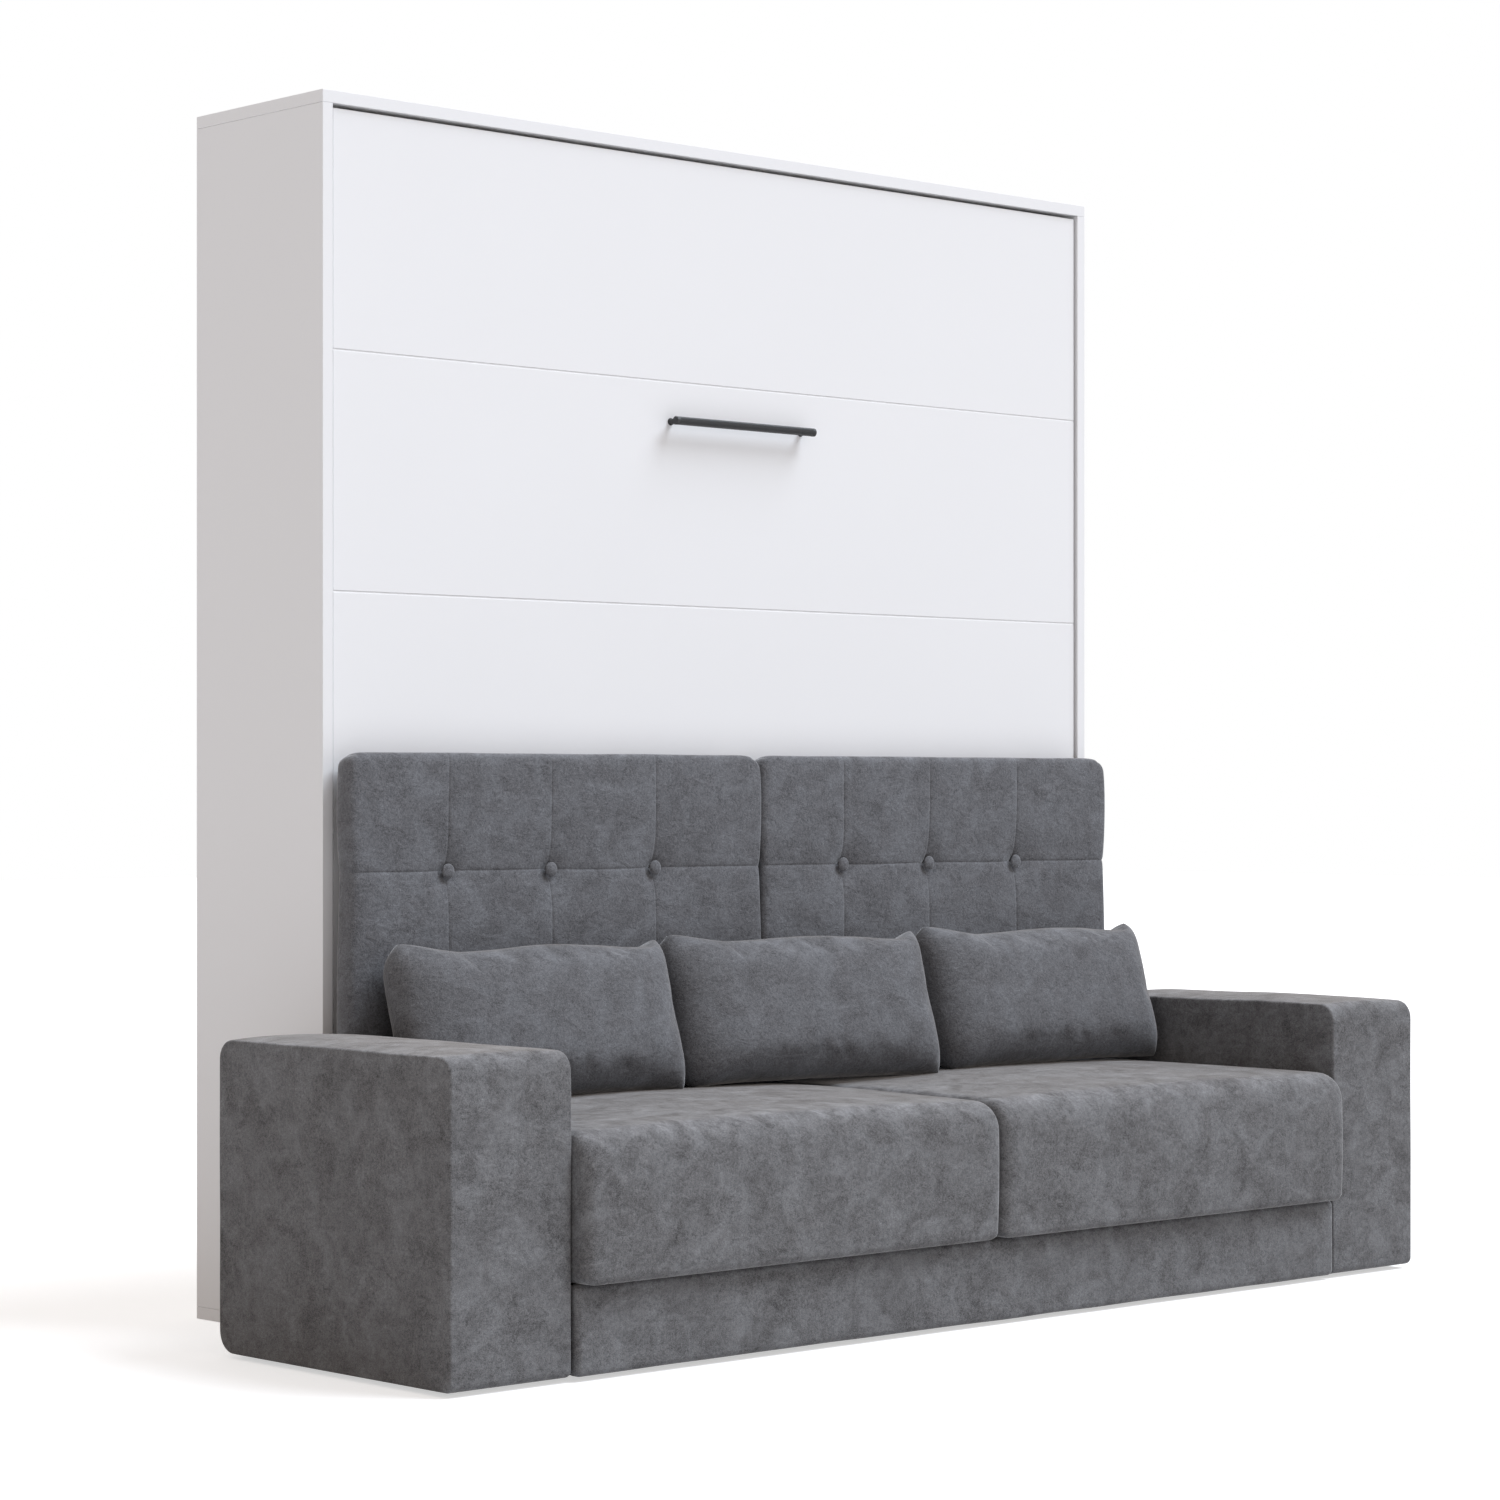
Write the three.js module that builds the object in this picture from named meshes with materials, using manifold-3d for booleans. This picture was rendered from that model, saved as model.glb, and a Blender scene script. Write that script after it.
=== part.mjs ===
// Wall bed with sofa: an upright bed in a cabinet, with a sofa in front of it.
// Lengths are millimetres. X runs along the front, Y towards the wall and Z up.
// Places are measured from the cabinet's front plane, its middle and the floor.
import * as THREE from "three";
import { mergeVertices } from "three/addons/utils/BufferGeometryUtils.js";
import Module from "manifold-3d";

const wasm = await Module();
wasm.setup();

// Gaps between pieces
const seatGap = 0.3;
const runningGap = 0.3;
const cutOverrun = 2;

// Cabinet
const cabinetDepth = 383;
const boardThickness = 22;
const backRailHeight = 180;
const bracketLength = 60;
const bracketWidth = 40;
const bracketThickness = 3;
const bracketFromSide = 222;

// Front of the bed: five level boards, one above the other
const frontBoardCount = 5;
const frontBoardJoint = 3;
const frontBoardThickness = 18;
const frontRecess = 6;
const frontSideGap = 5;
const frontTopGap = 7;
const frontBottomGap = 17;
const frontAboveRail = 22;

// Handle, on the second board from the top
const handleBelowJoint = 74;
const handleLength = 362;
const handleDiameter = 16;
const handlePostDiameter = 11;
const handlePostInset = 12;
const handleStandOff = 19;

// Bed frame and mattress
const pivotBehindFront = 60;
const underBedGap = 31;
const mattressWidth = 1800;
const mattressLength = 2000;
const mattressThickness = 180;
const mattressEdge = 28;
const mattressSideGap = 5;
const mattressEndGap = 4;
const railThickness = 22;
const railSideGap = 35;
const railDepth = 112;
const railBottomStep = 4;
const railTopMargin = 20;
const beamWidth = 40;
const ledgeWidth = 30;
const ledgeDepth = 32;
const slatCount = 14;
const slatWidth = 62;
const slatThickness = 12;
const slatLetIn = 2;
const strapWidth = 50;
const strapThickness = 2;

// Hinge plates and gas struts
const plateThickness = 5;
const cabinetPlateRadius = 30;
const bedPlateRadius = 24;
const pivotPinDiameter = 16;
const pivotPinInRail = 10;
const strutDiameter = 20;
const strutTubeDiameter = 19;
const strutRodDiameter = 9;
const strutRodHole = 10;
const strutStudDiameter = 8;
const strutRodInTube = 110;
const strutRodShown = 70;
const strutTopBehindPivot = 60;
const strutTopAbovePivot = 420;
const strutFootBehindPivot = 20;
const strutFootBelowPivot = 150;
const strutSideGap = 6;

// Folding feet at the bed's far end
const legPivotBehind = 45;
const legPivotAboveFrame = 14;
const legWidth = 24;
const legThickness = 12;
const legClearOfBoard = 5;
const legSideGap = 8;
const legFootWidth = 44;
const legFootThickness = 6;
const legFloorGap = 1;
const legShaftDiameter = 16;

// Sofa
const armClearance = 19;
const armWidth = 250;
const armDepth = 629;
const armBehindFront = 34;
const armHeight = 537;
const armCrown = 9;
const armCorner = 34;
const armFootCorner = 14;
const armSideEdge = 5;
const runnerHeight = 8;
const runnerInset = 60;
const baseOverhang = 8;
const baseHeight = 157;
const baseSideGap = 0.6;
const baseFrontThickness = 36;
const baseFrontEdge = 12;
const baseFrontEndGap = 5;
const baseRailThickness = 22;
const baseToeSetback = 60;
const deckThickness = 18;

// Loose cushions
const cushionGap = 3;
const seatOverhang = 35;
const seatHeight = 246;
const seatFrontCorner = 52;
const seatRearCorner = 34;
const seatFootCorner = 14;
const seatSideEdge = 24;
const seatCrown = 17;
const seatBulge = 7;
const backTop = 1025;
const backThickness = 56;
const backCorner = 33;
const backEdge = 13;
const backGap = 3;
const backSeamShares = [0.22, 0.464, 0.722];
const backSeamBelowTop = 210;
const backCrown = 7;
const backCrownReach = 95;
const backDimple = 5;
const buttonDiameter = 28;
const buttonThickness = 8;
const buttonMargin = 2;
const pillowWords = ["left", "middle", "right"];
const pillowSpacing = 14;
const pillowSideGap = 6;
const pillowHeight = 280;
const pillowThickness = 186;
const pillowSeam = 7;
const pillowLean = THREE.MathUtils.degToRad(14);
const pillowTopDip = 22;
const pillowSideDip = 6;
const pillowGap = 0.4;
const pillowSink = 5;

// Places worked out from the sizes above
const railInner = mattressWidth / 2 + mattressSideGap;
const railOuter = railInner + railThickness;
const insideHalf = railOuter + railSideGap;
const cabinetHalf = insideHalf + boardThickness;
const frontHalf = insideHalf - frontSideGap;
const frontBottom = boardThickness + frontBottomGap;
const headBottom = frontBottom + railBottomStep;
const mattressBottom = headBottom + railThickness + mattressEndGap;
const mattressTop = mattressBottom + mattressLength;
const footBottom = mattressTop + mattressEndGap;
const footTop = footBottom + railThickness;
const legPivotHeight = footTop + legPivotAboveFrame;
const railTop = legPivotHeight + railTopMargin;
const frontTop = railTop + frontAboveRail;
const frontBoardPitch = (frontTop - frontBottom + frontBoardJoint) / frontBoardCount;
const insideTop = frontTop + frontTopGap;
const cabinetHeight = insideTop + boardThickness;
const handleHeight = frontTop - frontBoardPitch - handleBelowJoint;
const frontBack = frontRecess + frontBoardThickness;
const frameFront = frontBack + seatGap;
const frameBack = frameFront + railDepth;
const pivotDepth = frontRecess + pivotBehindFront;
const pivotHeight = baseHeight + underBedGap + pivotBehindFront;
const slatFront = frameFront + ledgeDepth;
const slatBack = slatFront + slatThickness - slatLetIn;
const mattressFront = slatBack + seatGap;
const mattressBack = mattressFront + mattressThickness;
const legPivotDepth = pivotDepth + legPivotBehind;
const strutTop = { y: pivotDepth + strutTopBehindPivot, z: pivotHeight + strutTopAbovePivot };
const strutFoot = { y: pivotDepth + strutFootBehindPivot, z: pivotHeight - strutFootBelowPivot };
const strutOuter = insideHalf - strutSideGap;
const strutInner = strutOuter - strutDiameter;
const armFront = -armBehindFront - armDepth;
const armInner = frontHalf + armClearance;
const armOuter = armInner + armWidth;
const baseHalf = armInner - baseSideGap;
const baseFront = armFront - baseOverhang;
const baseRear = -seatGap;
const railsTop = baseHeight - deckThickness;
const cushionHalf = armInner - cushionGap;
const cushionBottom = baseHeight + seatGap;
const backFront = -backGap - backThickness;
const seatRear = backFront - backCrown - cushionGap;
const seatFront = baseFront - seatOverhang;
const backSeamHeight = backTop - backSeamBelowTop;
const pillowRow = 2 * (cushionHalf - pillowSideGap);
const pillowPitch = (pillowRow + pillowSpacing) / pillowWords.length;
const pillowWidth = pillowPitch - pillowSpacing;

function finish(color, roughness, metalness = 0) {
  return new THREE.MeshStandardMaterial({ color, roughness, metalness });
}

const laminate = finish(0xeaebee, 0.45);
const fabric = finish(0x6a6d71, 0.95);
const darkFabric = finish(0x3a3b3d, 0.9);
const bareWood = finish(0xc9a878, 0.7);
const ticking = finish(0xe9e7e1, 0.9);
const strapWeb = finish(0x2b2b2d, 0.85);
const steel = finish(0x9a9da1, 0.4, 0.9);
const blackMetal = finish(0x1b1b1c, 0.45, 0.8);
const blackPlastic = finish(0x1e1e1f, 0.6);

const wallBed = new THREE.Group();
const assembly = new THREE.Group();
assembly.position.y = -cabinetDepth / 2;
wallBed.add(assembly);

function place(name, geometry, material) {
  const mesh = new THREE.Mesh(geometry, material);
  mesh.name = name;
  assembly.add(mesh);
  return mesh;
}

// A rectangular block from its low and high limit on each axis
function blockGeometry(x, y, z) {
  const geometry = new THREE.BoxGeometry(x[1] - x[0], y[1] - y[0], z[1] - z[0]);
  return geometry.translate((x[0] + x[1]) / 2, (y[0] + y[1]) / 2, (z[0] + z[1]) / 2);
}

function block(name, x, y, z, material) {
  return place(name, blockGeometry(x, y, z), material);
}

// The limits of a stretch on the right (side 1) or mirrored to the left (side -1)
function sided(side, inner, outer) {
  return side > 0 ? [inner, outer] : [-outer, -inner];
}

const sides = [
  { side: -1, word: "left" },
  { side: 1, word: "right" },
];

// A round bar along X between two limits
function barAlongX(radius, x, y, z, segments) {
  const geometry = new THREE.CylinderGeometry(radius, radius, x[1] - x[0], segments);
  return geometry.rotateZ(Math.PI / 2).translate((x[0] + x[1]) / 2, y, z);
}

// An outline in the YZ plane, given as a shape whose x is Y and y is Z, made thick along X
function plateAlongX(shape, x, curveSegments) {
  const geometry = new THREE.ExtrudeGeometry(shape, {
    depth: x[1] - x[0],
    bevelEnabled: false,
    curveSegments,
  });
  const axes = new THREE.Matrix4().makeBasis(
    new THREE.Vector3(0, 1, 0),
    new THREE.Vector3(0, 0, 1),
    new THREE.Vector3(1, 0, 0),
  );
  return geometry.applyMatrix4(axes).translate(x[0], 0, 0);
}

function solid(geometry) {
  const bare = geometry.clone();
  bare.deleteAttribute("normal");
  bare.deleteAttribute("uv");
  const merged = mergeVertices(bare);
  const mesh = new wasm.Mesh({
    numProp: 3,
    vertProperties: new Float32Array(merged.attributes.position.array),
    triVerts: new Uint32Array(merged.index.array),
  });
  return new wasm.Manifold(mesh);
}

function fromSolid(manifold) {
  const mesh = manifold.getMesh();
  const geometry = new THREE.BufferGeometry();
  geometry.setAttribute("position", new THREE.BufferAttribute(mesh.vertProperties, 3));
  geometry.setIndex(new THREE.BufferAttribute(mesh.triVerts, 1));
  geometry.computeVertexNormals();
  return geometry;
}

function joined(geometries) {
  return geometries.map(solid).reduce((sum, next) => sum.add(next));
}

function cut(geometry, cutters) {
  return fromSolid(cutters.map(solid).reduce((rest, next) => rest.subtract(next), solid(geometry)));
}

const roundSteps = 24;
const smallRoundSteps = 12;

function buildCabinet() {
  const half = cabinetHalf;
  const depth = [0, cabinetDepth];
  block("cabinet_base", [-half, half], depth, [0, boardThickness], laminate);
  block("cabinet_top", [-half, half], depth, [insideTop, cabinetHeight], laminate);
  for (const { side, word } of sides) {
    const height = [boardThickness + seatGap, insideTop - seatGap];
    block(`cabinet_side_${word}`, sided(side, insideHalf, half), depth, height, laminate);
  }
  const railX = [-insideHalf + seatGap, insideHalf - seatGap];
  const railY = [cabinetDepth - boardThickness, cabinetDepth];
  const upper = [insideTop - backRailHeight, insideTop - seatGap];
  const lower = [boardThickness + seatGap, boardThickness + backRailHeight];
  block("back_rail_upper", railX, railY, upper, laminate);
  block("back_rail_lower", railX, railY, lower, laminate);
}

// Steel angles that tie the top board to the upper rail, where the wall screws go
function buildWallBrackets() {
  const back = cabinetDepth - boardThickness - seatGap;
  const top = insideTop - seatGap;
  const outer = insideHalf - bracketFromSide;
  for (const { side, word } of sides) {
    const x = sided(side, outer - bracketWidth, outer);
    const level = blockGeometry(x, [back - bracketLength, back], [top - bracketThickness, top]);
    const upright = blockGeometry(x, [back - bracketThickness, back], [top - bracketLength, top]);
    place(`wall_bracket_${word}`, fromSolid(joined([level, upright])), steel);
  }
}

function buildFrontBoards() {
  const depth = [frontRecess, frontBack];
  for (let row = 0; row < frontBoardCount; row += 1) {
    const top = frontTop - row * frontBoardPitch;
    const height = [top - frontBoardPitch + frontBoardJoint, top];
    block(`front_board_${row + 1}`, [-frontHalf, frontHalf], depth, height, laminate);
  }
}

function buildHandle() {
  const barRadius = handleDiameter / 2;
  const barDepth = frontRecess - handleStandOff - barRadius;
  const barX = [-handleLength / 2, handleLength / 2];
  const postRadius = handlePostDiameter / 2;
  const postFoot = frontRecess - seatGap;
  const posts = sides.map(({ side, word }) => {
    const length = postFoot - barDepth;
    const geometry = new THREE.CylinderGeometry(postRadius, postRadius, length, roundSteps);
    const x = side * (handleLength / 2 - handlePostInset);
    geometry.translate(x, (postFoot + barDepth) / 2, handleHeight);
    return { word, geometry };
  });
  const bar = barAlongX(barRadius, barX, barDepth, handleHeight, roundSteps);
  for (const { word, geometry } of posts) {
    const grown = barAlongX(barRadius + seatGap, barX, barDepth, handleHeight, roundSteps);
    place(`handle_post_${word}`, cut(geometry, [grown]), blackMetal);
  }
  place("handle_bar", bar, blackMetal);
}

// The bed's side rails, bored for the pivot pins and the foot shaft
function buildBedRails() {
  const depth = [frameFront, frameBack];
  for (const { side, word } of sides) {
    const rail = blockGeometry(sided(side, railInner, railOuter), depth, [headBottom, railTop]);
    const pinX = sided(side, railOuter - pivotPinInRail - seatGap, railOuter + cutOverrun);
    const shaftX = sided(side, railInner - cutOverrun, railOuter + cutOverrun);
    const pinHole = pivotPinDiameter / 2 + runningGap;
    const shaftHole = legShaftDiameter / 2 + runningGap;
    const holes = [
      barAlongX(pinHole, pinX, pivotDepth, pivotHeight, roundSteps),
      barAlongX(shaftHole, shaftX, legPivotDepth, legPivotHeight, roundSteps),
    ];
    place(`side_rail_${word}`, cut(rail, holes), bareWood);
  }
  const across = [-railInner + seatGap, railInner - seatGap];
  block("head_rail", across, depth, [headBottom, headBottom + railThickness], bareWood);
  block("foot_rail", across, depth, [footBottom, footTop], bareWood);
  const beamHeight = [headBottom + railThickness + seatGap, footBottom - seatGap];
  const beamDepth = [frameFront, slatFront - slatLetIn - seatGap];
  block("centre_beam", [-beamWidth / 2, beamWidth / 2], beamDepth, beamHeight, bareWood);
}

// Slats let into two ledges that lie along the side rails
function buildSlats() {
  const low = headBottom + railThickness + seatGap;
  const high = footBottom - seatGap;
  const outer = railInner - seatGap;
  const ledges = sides.map(({ side }) => {
    const x = sided(side, outer - ledgeWidth, outer);
    return blockGeometry(x, [frameFront, slatFront], [low, high]);
  });
  const pitch = (high - low - slatWidth) / (slatCount - 1);
  const slats = Array.from({ length: slatCount }, (_, index) => {
    const bottom = low + index * pitch;
    const depth = [slatFront - slatLetIn, slatBack];
    return blockGeometry([-outer, outer], depth, [bottom, bottom + slatWidth]);
  });
  place("slat_grid", fromSolid(joined([...ledges, ...slats])), bareWood);
}

// A closed surface of flat cells over a box of grid lines, moved point by point
function gridBlock(xLines, yLines, zLines, move) {
  const counts = [xLines.length, yLines.length, zLines.length];
  const lines = [xLines, yLines, zLines];
  const positions = [];
  const found = new Map();
  const corner = (cell) => {
    const key = cell.join();
    if (!found.has(key)) {
      found.set(key, positions.length / 3);
      const point = new THREE.Vector3(...cell.map((index, axis) => lines[axis][index]));
      positions.push(...move(point).toArray());
    }
    return found.get(key);
  };
  const faces = [];
  for (let axis = 0; axis < 3; axis += 1) {
    const u = (axis + 1) % 3;
    const v = (axis + 2) % 3;
    for (const end of [0, counts[axis] - 1]) {
      for (let i = 0; i < counts[u] - 1; i += 1) {
        for (let j = 0; j < counts[v] - 1; j += 1) {
          const ring = [[i, j], [i + 1, j], [i + 1, j + 1], [i, j + 1]].map(([a, b]) => {
            const cell = [0, 0, 0];
            cell[axis] = end;
            cell[u] = a;
            cell[v] = b;
            return corner(cell);
          });
          if (end === 0) ring.reverse();
          faces.push(ring[0], ring[1], ring[2], ring[0], ring[2], ring[3]);
        }
      }
    }
  }
  const geometry = new THREE.BufferGeometry();
  geometry.setAttribute("position", new THREE.Float32BufferAttribute(positions, 3));
  geometry.setIndex(faces);
  geometry.computeVertexNormals();
  return geometry;
}

// Grid lines along an axis: dense in the rounded edges, even between
const edgeShares = [0, 0.6, 1];
const sideShares = [0, 0.15, 0.5, 1];
function edgedLines(half, edge, inner, highEdge = edge, shares = edgeShares) {
  const low = shares.map((share) => -half + edge * share);
  const high = shares.map((share) => half - highEdge * share).reverse();
  const middle = Array.from({ length: inner }, (_, index) =>
    THREE.MathUtils.lerp(edge - half, half - highEdge, (index + 1) / (inner + 1)));
  return [...low, ...middle, ...high];
}

// Rounds the edges of a box of the given half sizes
function rounded(point, half, edge) {
  const inner = point.clone();
  for (const axis of ["x", "y", "z"]) {
    const limit = half[axis] - edge;
    inner[axis] = THREE.MathUtils.clamp(point[axis], -limit, limit);
  }
  const out = point.clone().sub(inner);
  if (out.lengthSq() === 0) return point.clone();
  return inner.add(out.setLength(edge));
}

// A swell that is full in the middle and nothing at the ends of a half-length
function swell(value, half) {
  const share = Math.min(Math.abs(value) / half, 1);
  return Math.cos((share * Math.PI) / 2) ** 0.7;
}

// A block with all its edges rounded alike
function roundedBlock(size, edge, counts) {
  const half = size.clone().multiplyScalar(1 / 2);
  const lines = ["x", "y", "z"].map((axis) => edgedLines(half[axis], edge, counts[axis]));
  return gridBlock(...lines, (point) => rounded(point, half, edge));
}

// An upholstered block: a side profile with a radius for each corner, narrow edges round both
// sides, a crown above and a bulge on its front
function profiledBlock({ size, corners, sideEdge, inner, crown, bulge }) {
  const half = size.clone().multiplyScalar(1 / 2);
  const lines = [
    edgedLines(half.x, sideEdge, inner.x, sideEdge, sideShares),
    edgedLines(half.y, corners.frontTop, inner.y, corners.rearTop),
    edgedLines(half.z, corners.rearFoot, inner.z, corners.frontTop),
  ];
  return gridBlock(...lines, (point) => {
    const moved = roundedProfile(point, half, corners, sideEdge);
    const top = Math.max(point.z, 0) / half.z;
    const front = Math.max(-point.y, 0) / half.y;
    moved.z += crown * swell(point.x, half.x) * swell(point.y, half.y) * top ** 4;
    moved.y -= bulge * swell(point.x, half.x) * swell(point.z, half.z) * front ** 4;
    return moved;
  });
}

// Rounds the corners of a block's side profile and draws it in at both side edges
const cornerSpareShare = 1.25;
function roundedProfile(point, half, corners, sideEdge) {
  const depthIn = Math.max(Math.abs(point.x) - (half.x - sideEdge), 0);
  const inset = sideEdge - Math.sqrt(Math.max(sideEdge ** 2 - depthIn ** 2, 0));
  const front = point.z < 0 ? corners.frontFoot : corners.frontTop;
  const rear = point.z < 0 ? corners.rearFoot : corners.rearTop;
  const radius = Math.max(point.y < 0 ? front : rear, inset * cornerSpareShare);
  const inner = new THREE.Vector2(
    THREE.MathUtils.clamp(point.y, radius - half.y, half.y - radius),
    THREE.MathUtils.clamp(point.z, radius - half.z, half.z - radius),
  );
  const out = new THREE.Vector2(point.y, point.z).sub(inner);
  if (out.lengthSq() === 0) return point.clone();
  const reach = Math.max(Math.abs(out.x), Math.abs(out.y));
  out.setLength(reach * (1 - inset / radius));
  return new THREE.Vector3(point.x, inner.x + out.x, inner.y + out.y);
}

// The same form turned, for a slab whose narrow edges run round its front and its back
function roundedSlab(point, half, corner, edge) {
  const turned = (vector) => new THREE.Vector3(vector.y, vector.x, vector.z);
  const corners = { frontTop: corner, rearTop: corner, rearFoot: corner, frontFoot: corner };
  return turned(roundedProfile(turned(point), turned(half), corners, edge));
}

function buildMattress() {
  const size = new THREE.Vector3(mattressWidth, mattressThickness, mattressLength);
  const geometry = roundedBlock(size, mattressEdge, { x: 1, y: 1, z: 1 });
  const middleY = (mattressFront + mattressBack) / 2;
  geometry.translate(0, middleY, (mattressBottom + mattressTop) / 2);
  place("mattress", geometry, ticking);
  const inner = mattressWidth / 2 + (mattressSideGap - strapThickness) / 2;
  const outer = inner + strapThickness;
  const back = mattressBack + seatGap;
  const ends = (frameBack + mattressFront) / 2;
  const heights = { lower: 1 / 4, upper: 3 / 4 };
  for (const [word, heightShare] of Object.entries(heights)) {
    const middle = mattressBottom + mattressLength * heightShare;
    const z = [middle - strapWidth / 2, middle + strapWidth / 2];
    const whole = blockGeometry([-outer, outer], [ends, back + strapThickness], z);
    const inside = blockGeometry([-inner, inner], [ends - cutOverrun, back],
      [z[0] - cutOverrun, z[1] + cutOverrun]);
    place(`mattress_strap_${word}`, cut(whole, [inside]), strapWeb);
  }
}

// A plate outline round two centres
function linkShape(from, to, radius) {
  const along = Math.atan2(to.z - from.z, to.y - from.y);
  const shape = new THREE.Shape();
  shape.absarc(to.y, to.z, radius, along - Math.PI / 2, along + Math.PI / 2);
  shape.absarc(from.y, from.z, radius, along + Math.PI / 2, along + (3 * Math.PI) / 2);
  return shape;
}

const pivot = { y: pivotDepth, z: pivotHeight };

function buildHingePlates() {
  const pinRadius = pivotPinDiameter / 2;
  const studRadius = strutStudDiameter / 2;
  const cabinetPlateX = [insideHalf - seatGap - plateThickness, insideHalf - seatGap];
  const bedPlateX = [railOuter + seatGap, railOuter + seatGap + plateThickness];
  for (const { side, word } of sides) {
    const plate = plateAlongX(linkShape(pivot, strutTop, cabinetPlateRadius),
      sided(side, ...cabinetPlateX), smallRoundSteps);
    const pinX = sided(side, railOuter - pivotPinInRail, cabinetPlateX[1]);
    const pin = barAlongX(pinRadius, pinX, pivot.y, pivot.z, roundSteps);
    const studX = sided(side, strutInner, cabinetPlateX[1]);
    const stud = barAlongX(studRadius, studX, strutTop.y, strutTop.z, smallRoundSteps);
    place(`hinge_plate_${word}`, fromSolid(joined([plate, pin, stud])), steel);

    const bedPlate = plateAlongX(linkShape(pivot, strutFoot, bedPlateRadius),
      sided(side, ...bedPlateX), smallRoundSteps);
    const bossX = sided(side, bedPlateX[0], strutInner - runningGap);
    const boss = barAlongX(studRadius, bossX, strutFoot.y, strutFoot.z, smallRoundSteps);
    const holeX = sided(side, bedPlateX[0] - cutOverrun, bedPlateX[1] + cutOverrun);
    const hole = barAlongX(pinRadius + runningGap, holeX, pivot.y, pivot.z, roundSteps);
    const drilled = joined([bedPlate, boss]).subtract(solid(hole));
    place(`bed_plate_${word}`, fromSolid(drilled), steel);
  }
}

// The strut's line, its travel in a quarter turn of the bed and the tube that this leaves
const strutLine = new THREE.Vector3(0, strutFoot.y - strutTop.y, strutFoot.z - strutTop.z);
const strutLength = strutLine.length();
const strutAxis = strutLine.clone().normalize();
const strutEyeRadius = strutDiameter / 2;
const loweredFoot = { y: pivotDepth + strutFootBelowPivot, z: pivotHeight + strutFootBehindPivot };
const shortLength = Math.hypot(loweredFoot.y - strutTop.y, loweredFoot.z - strutTop.z);
const strutTravel = strutLength - shortLength;
const strutTubeLength = shortLength - strutEyeRadius - strutRodShown;

// A round bar between two distances along the strut's line, from its upper pivot
function strutBar(radius, x, from, to, segments) {
  const geometry = new THREE.CylinderGeometry(radius, radius, to - from, segments);
  const turn = new THREE.Quaternion().setFromUnitVectors(new THREE.Vector3(0, 1, 0), strutAxis);
  const middle = strutAxis.clone().multiplyScalar((from + to) / 2);
  geometry.applyQuaternion(turn);
  return geometry.translate(x, strutTop.y + middle.y, strutTop.z + middle.z);
}

function buildStruts() {
  const tubeRadius = strutTubeDiameter / 2;
  const rodRadius = strutRodDiameter / 2;
  const studHole = strutStudDiameter / 2 + runningGap;
  for (const { side, word } of sides) {
    const x = (side * (strutInner + strutOuter)) / 2;
    const eyeX = sided(side, strutInner, strutOuter);
    const holeX = sided(side, strutInner - cutOverrun, strutOuter + cutOverrun);
    const eye = barAlongX(strutEyeRadius, eyeX, strutTop.y, strutTop.z, roundSteps);
    const tube = strutBar(tubeRadius, x, strutEyeRadius - cutOverrun, strutTubeLength, roundSteps);
    const eyeHole = barAlongX(studHole, holeX, strutTop.y, strutTop.z, smallRoundSteps);
    const boreStart = strutTubeLength - strutTravel - strutRodInTube;
    const bore = strutBar(strutRodHole / 2, x, boreStart - cutOverrun,
      strutTubeLength + cutOverrun, smallRoundSteps);
    const cylinder = joined([eye, tube]).subtract(solid(eyeHole)).subtract(solid(bore));
    place(`strut_cylinder_${word}`, fromSolid(cylinder), blackMetal);

    const foot = barAlongX(strutEyeRadius, eyeX, strutFoot.y, strutFoot.z, roundSteps);
    const rod = strutBar(rodRadius, x, strutTubeLength - strutRodInTube,
      strutLength - strutEyeRadius + cutOverrun, smallRoundSteps);
    place(`strut_rod_${word}`, fromSolid(joined([foot, rod])), steel);
  }
}

// Two cranked feet on one shaft, stowed along the side rails
function buildFeet() {
  const hub = { y: legPivotDepth, z: legPivotHeight };
  const halfWidth = legWidth / 2;
  const crank = frontTop + legClearOfBoard + halfWidth - hub.z;
  const reach = legPivotDepth - pivotDepth + pivotHeight - legFloorGap;
  const shankY = hub.y - crank;
  const tip = hub.z - reach;
  const inner = railOuter + legSideGap;
  for (const { side, word } of sides) {
    const x = sided(side, inner, inner + legThickness);
    const shape = new THREE.Shape();
    shape.moveTo(shankY - halfWidth, hub.z + halfWidth);
    shape.lineTo(shankY - halfWidth, tip);
    shape.lineTo(shankY + halfWidth, tip);
    shape.lineTo(shankY + halfWidth, hub.z - halfWidth);
    shape.lineTo(hub.y, hub.z - halfWidth);
    shape.absarc(hub.y, hub.z, halfWidth, -Math.PI / 2, Math.PI / 2);
    shape.closePath();
    const shank = plateAlongX(shape, x, smallRoundSteps);
    const footX = sided(side, railOuter + seatGap, inner + legThickness);
    const footY = [shankY - halfWidth, shankY - halfWidth + legFootWidth];
    const foot = blockGeometry(footX, footY, [tip, tip + legFootThickness]);
    place(`foot_leg_${word}`, fromSolid(joined([shank, foot])), blackMetal);
  }
  const shaftX = [-inner + seatGap, inner - seatGap];
  const shaft = barAlongX(legShaftDiameter / 2, shaftX, hub.y, hub.z, roundSteps);
  place("foot_shaft", shaft, steel);
}

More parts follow.
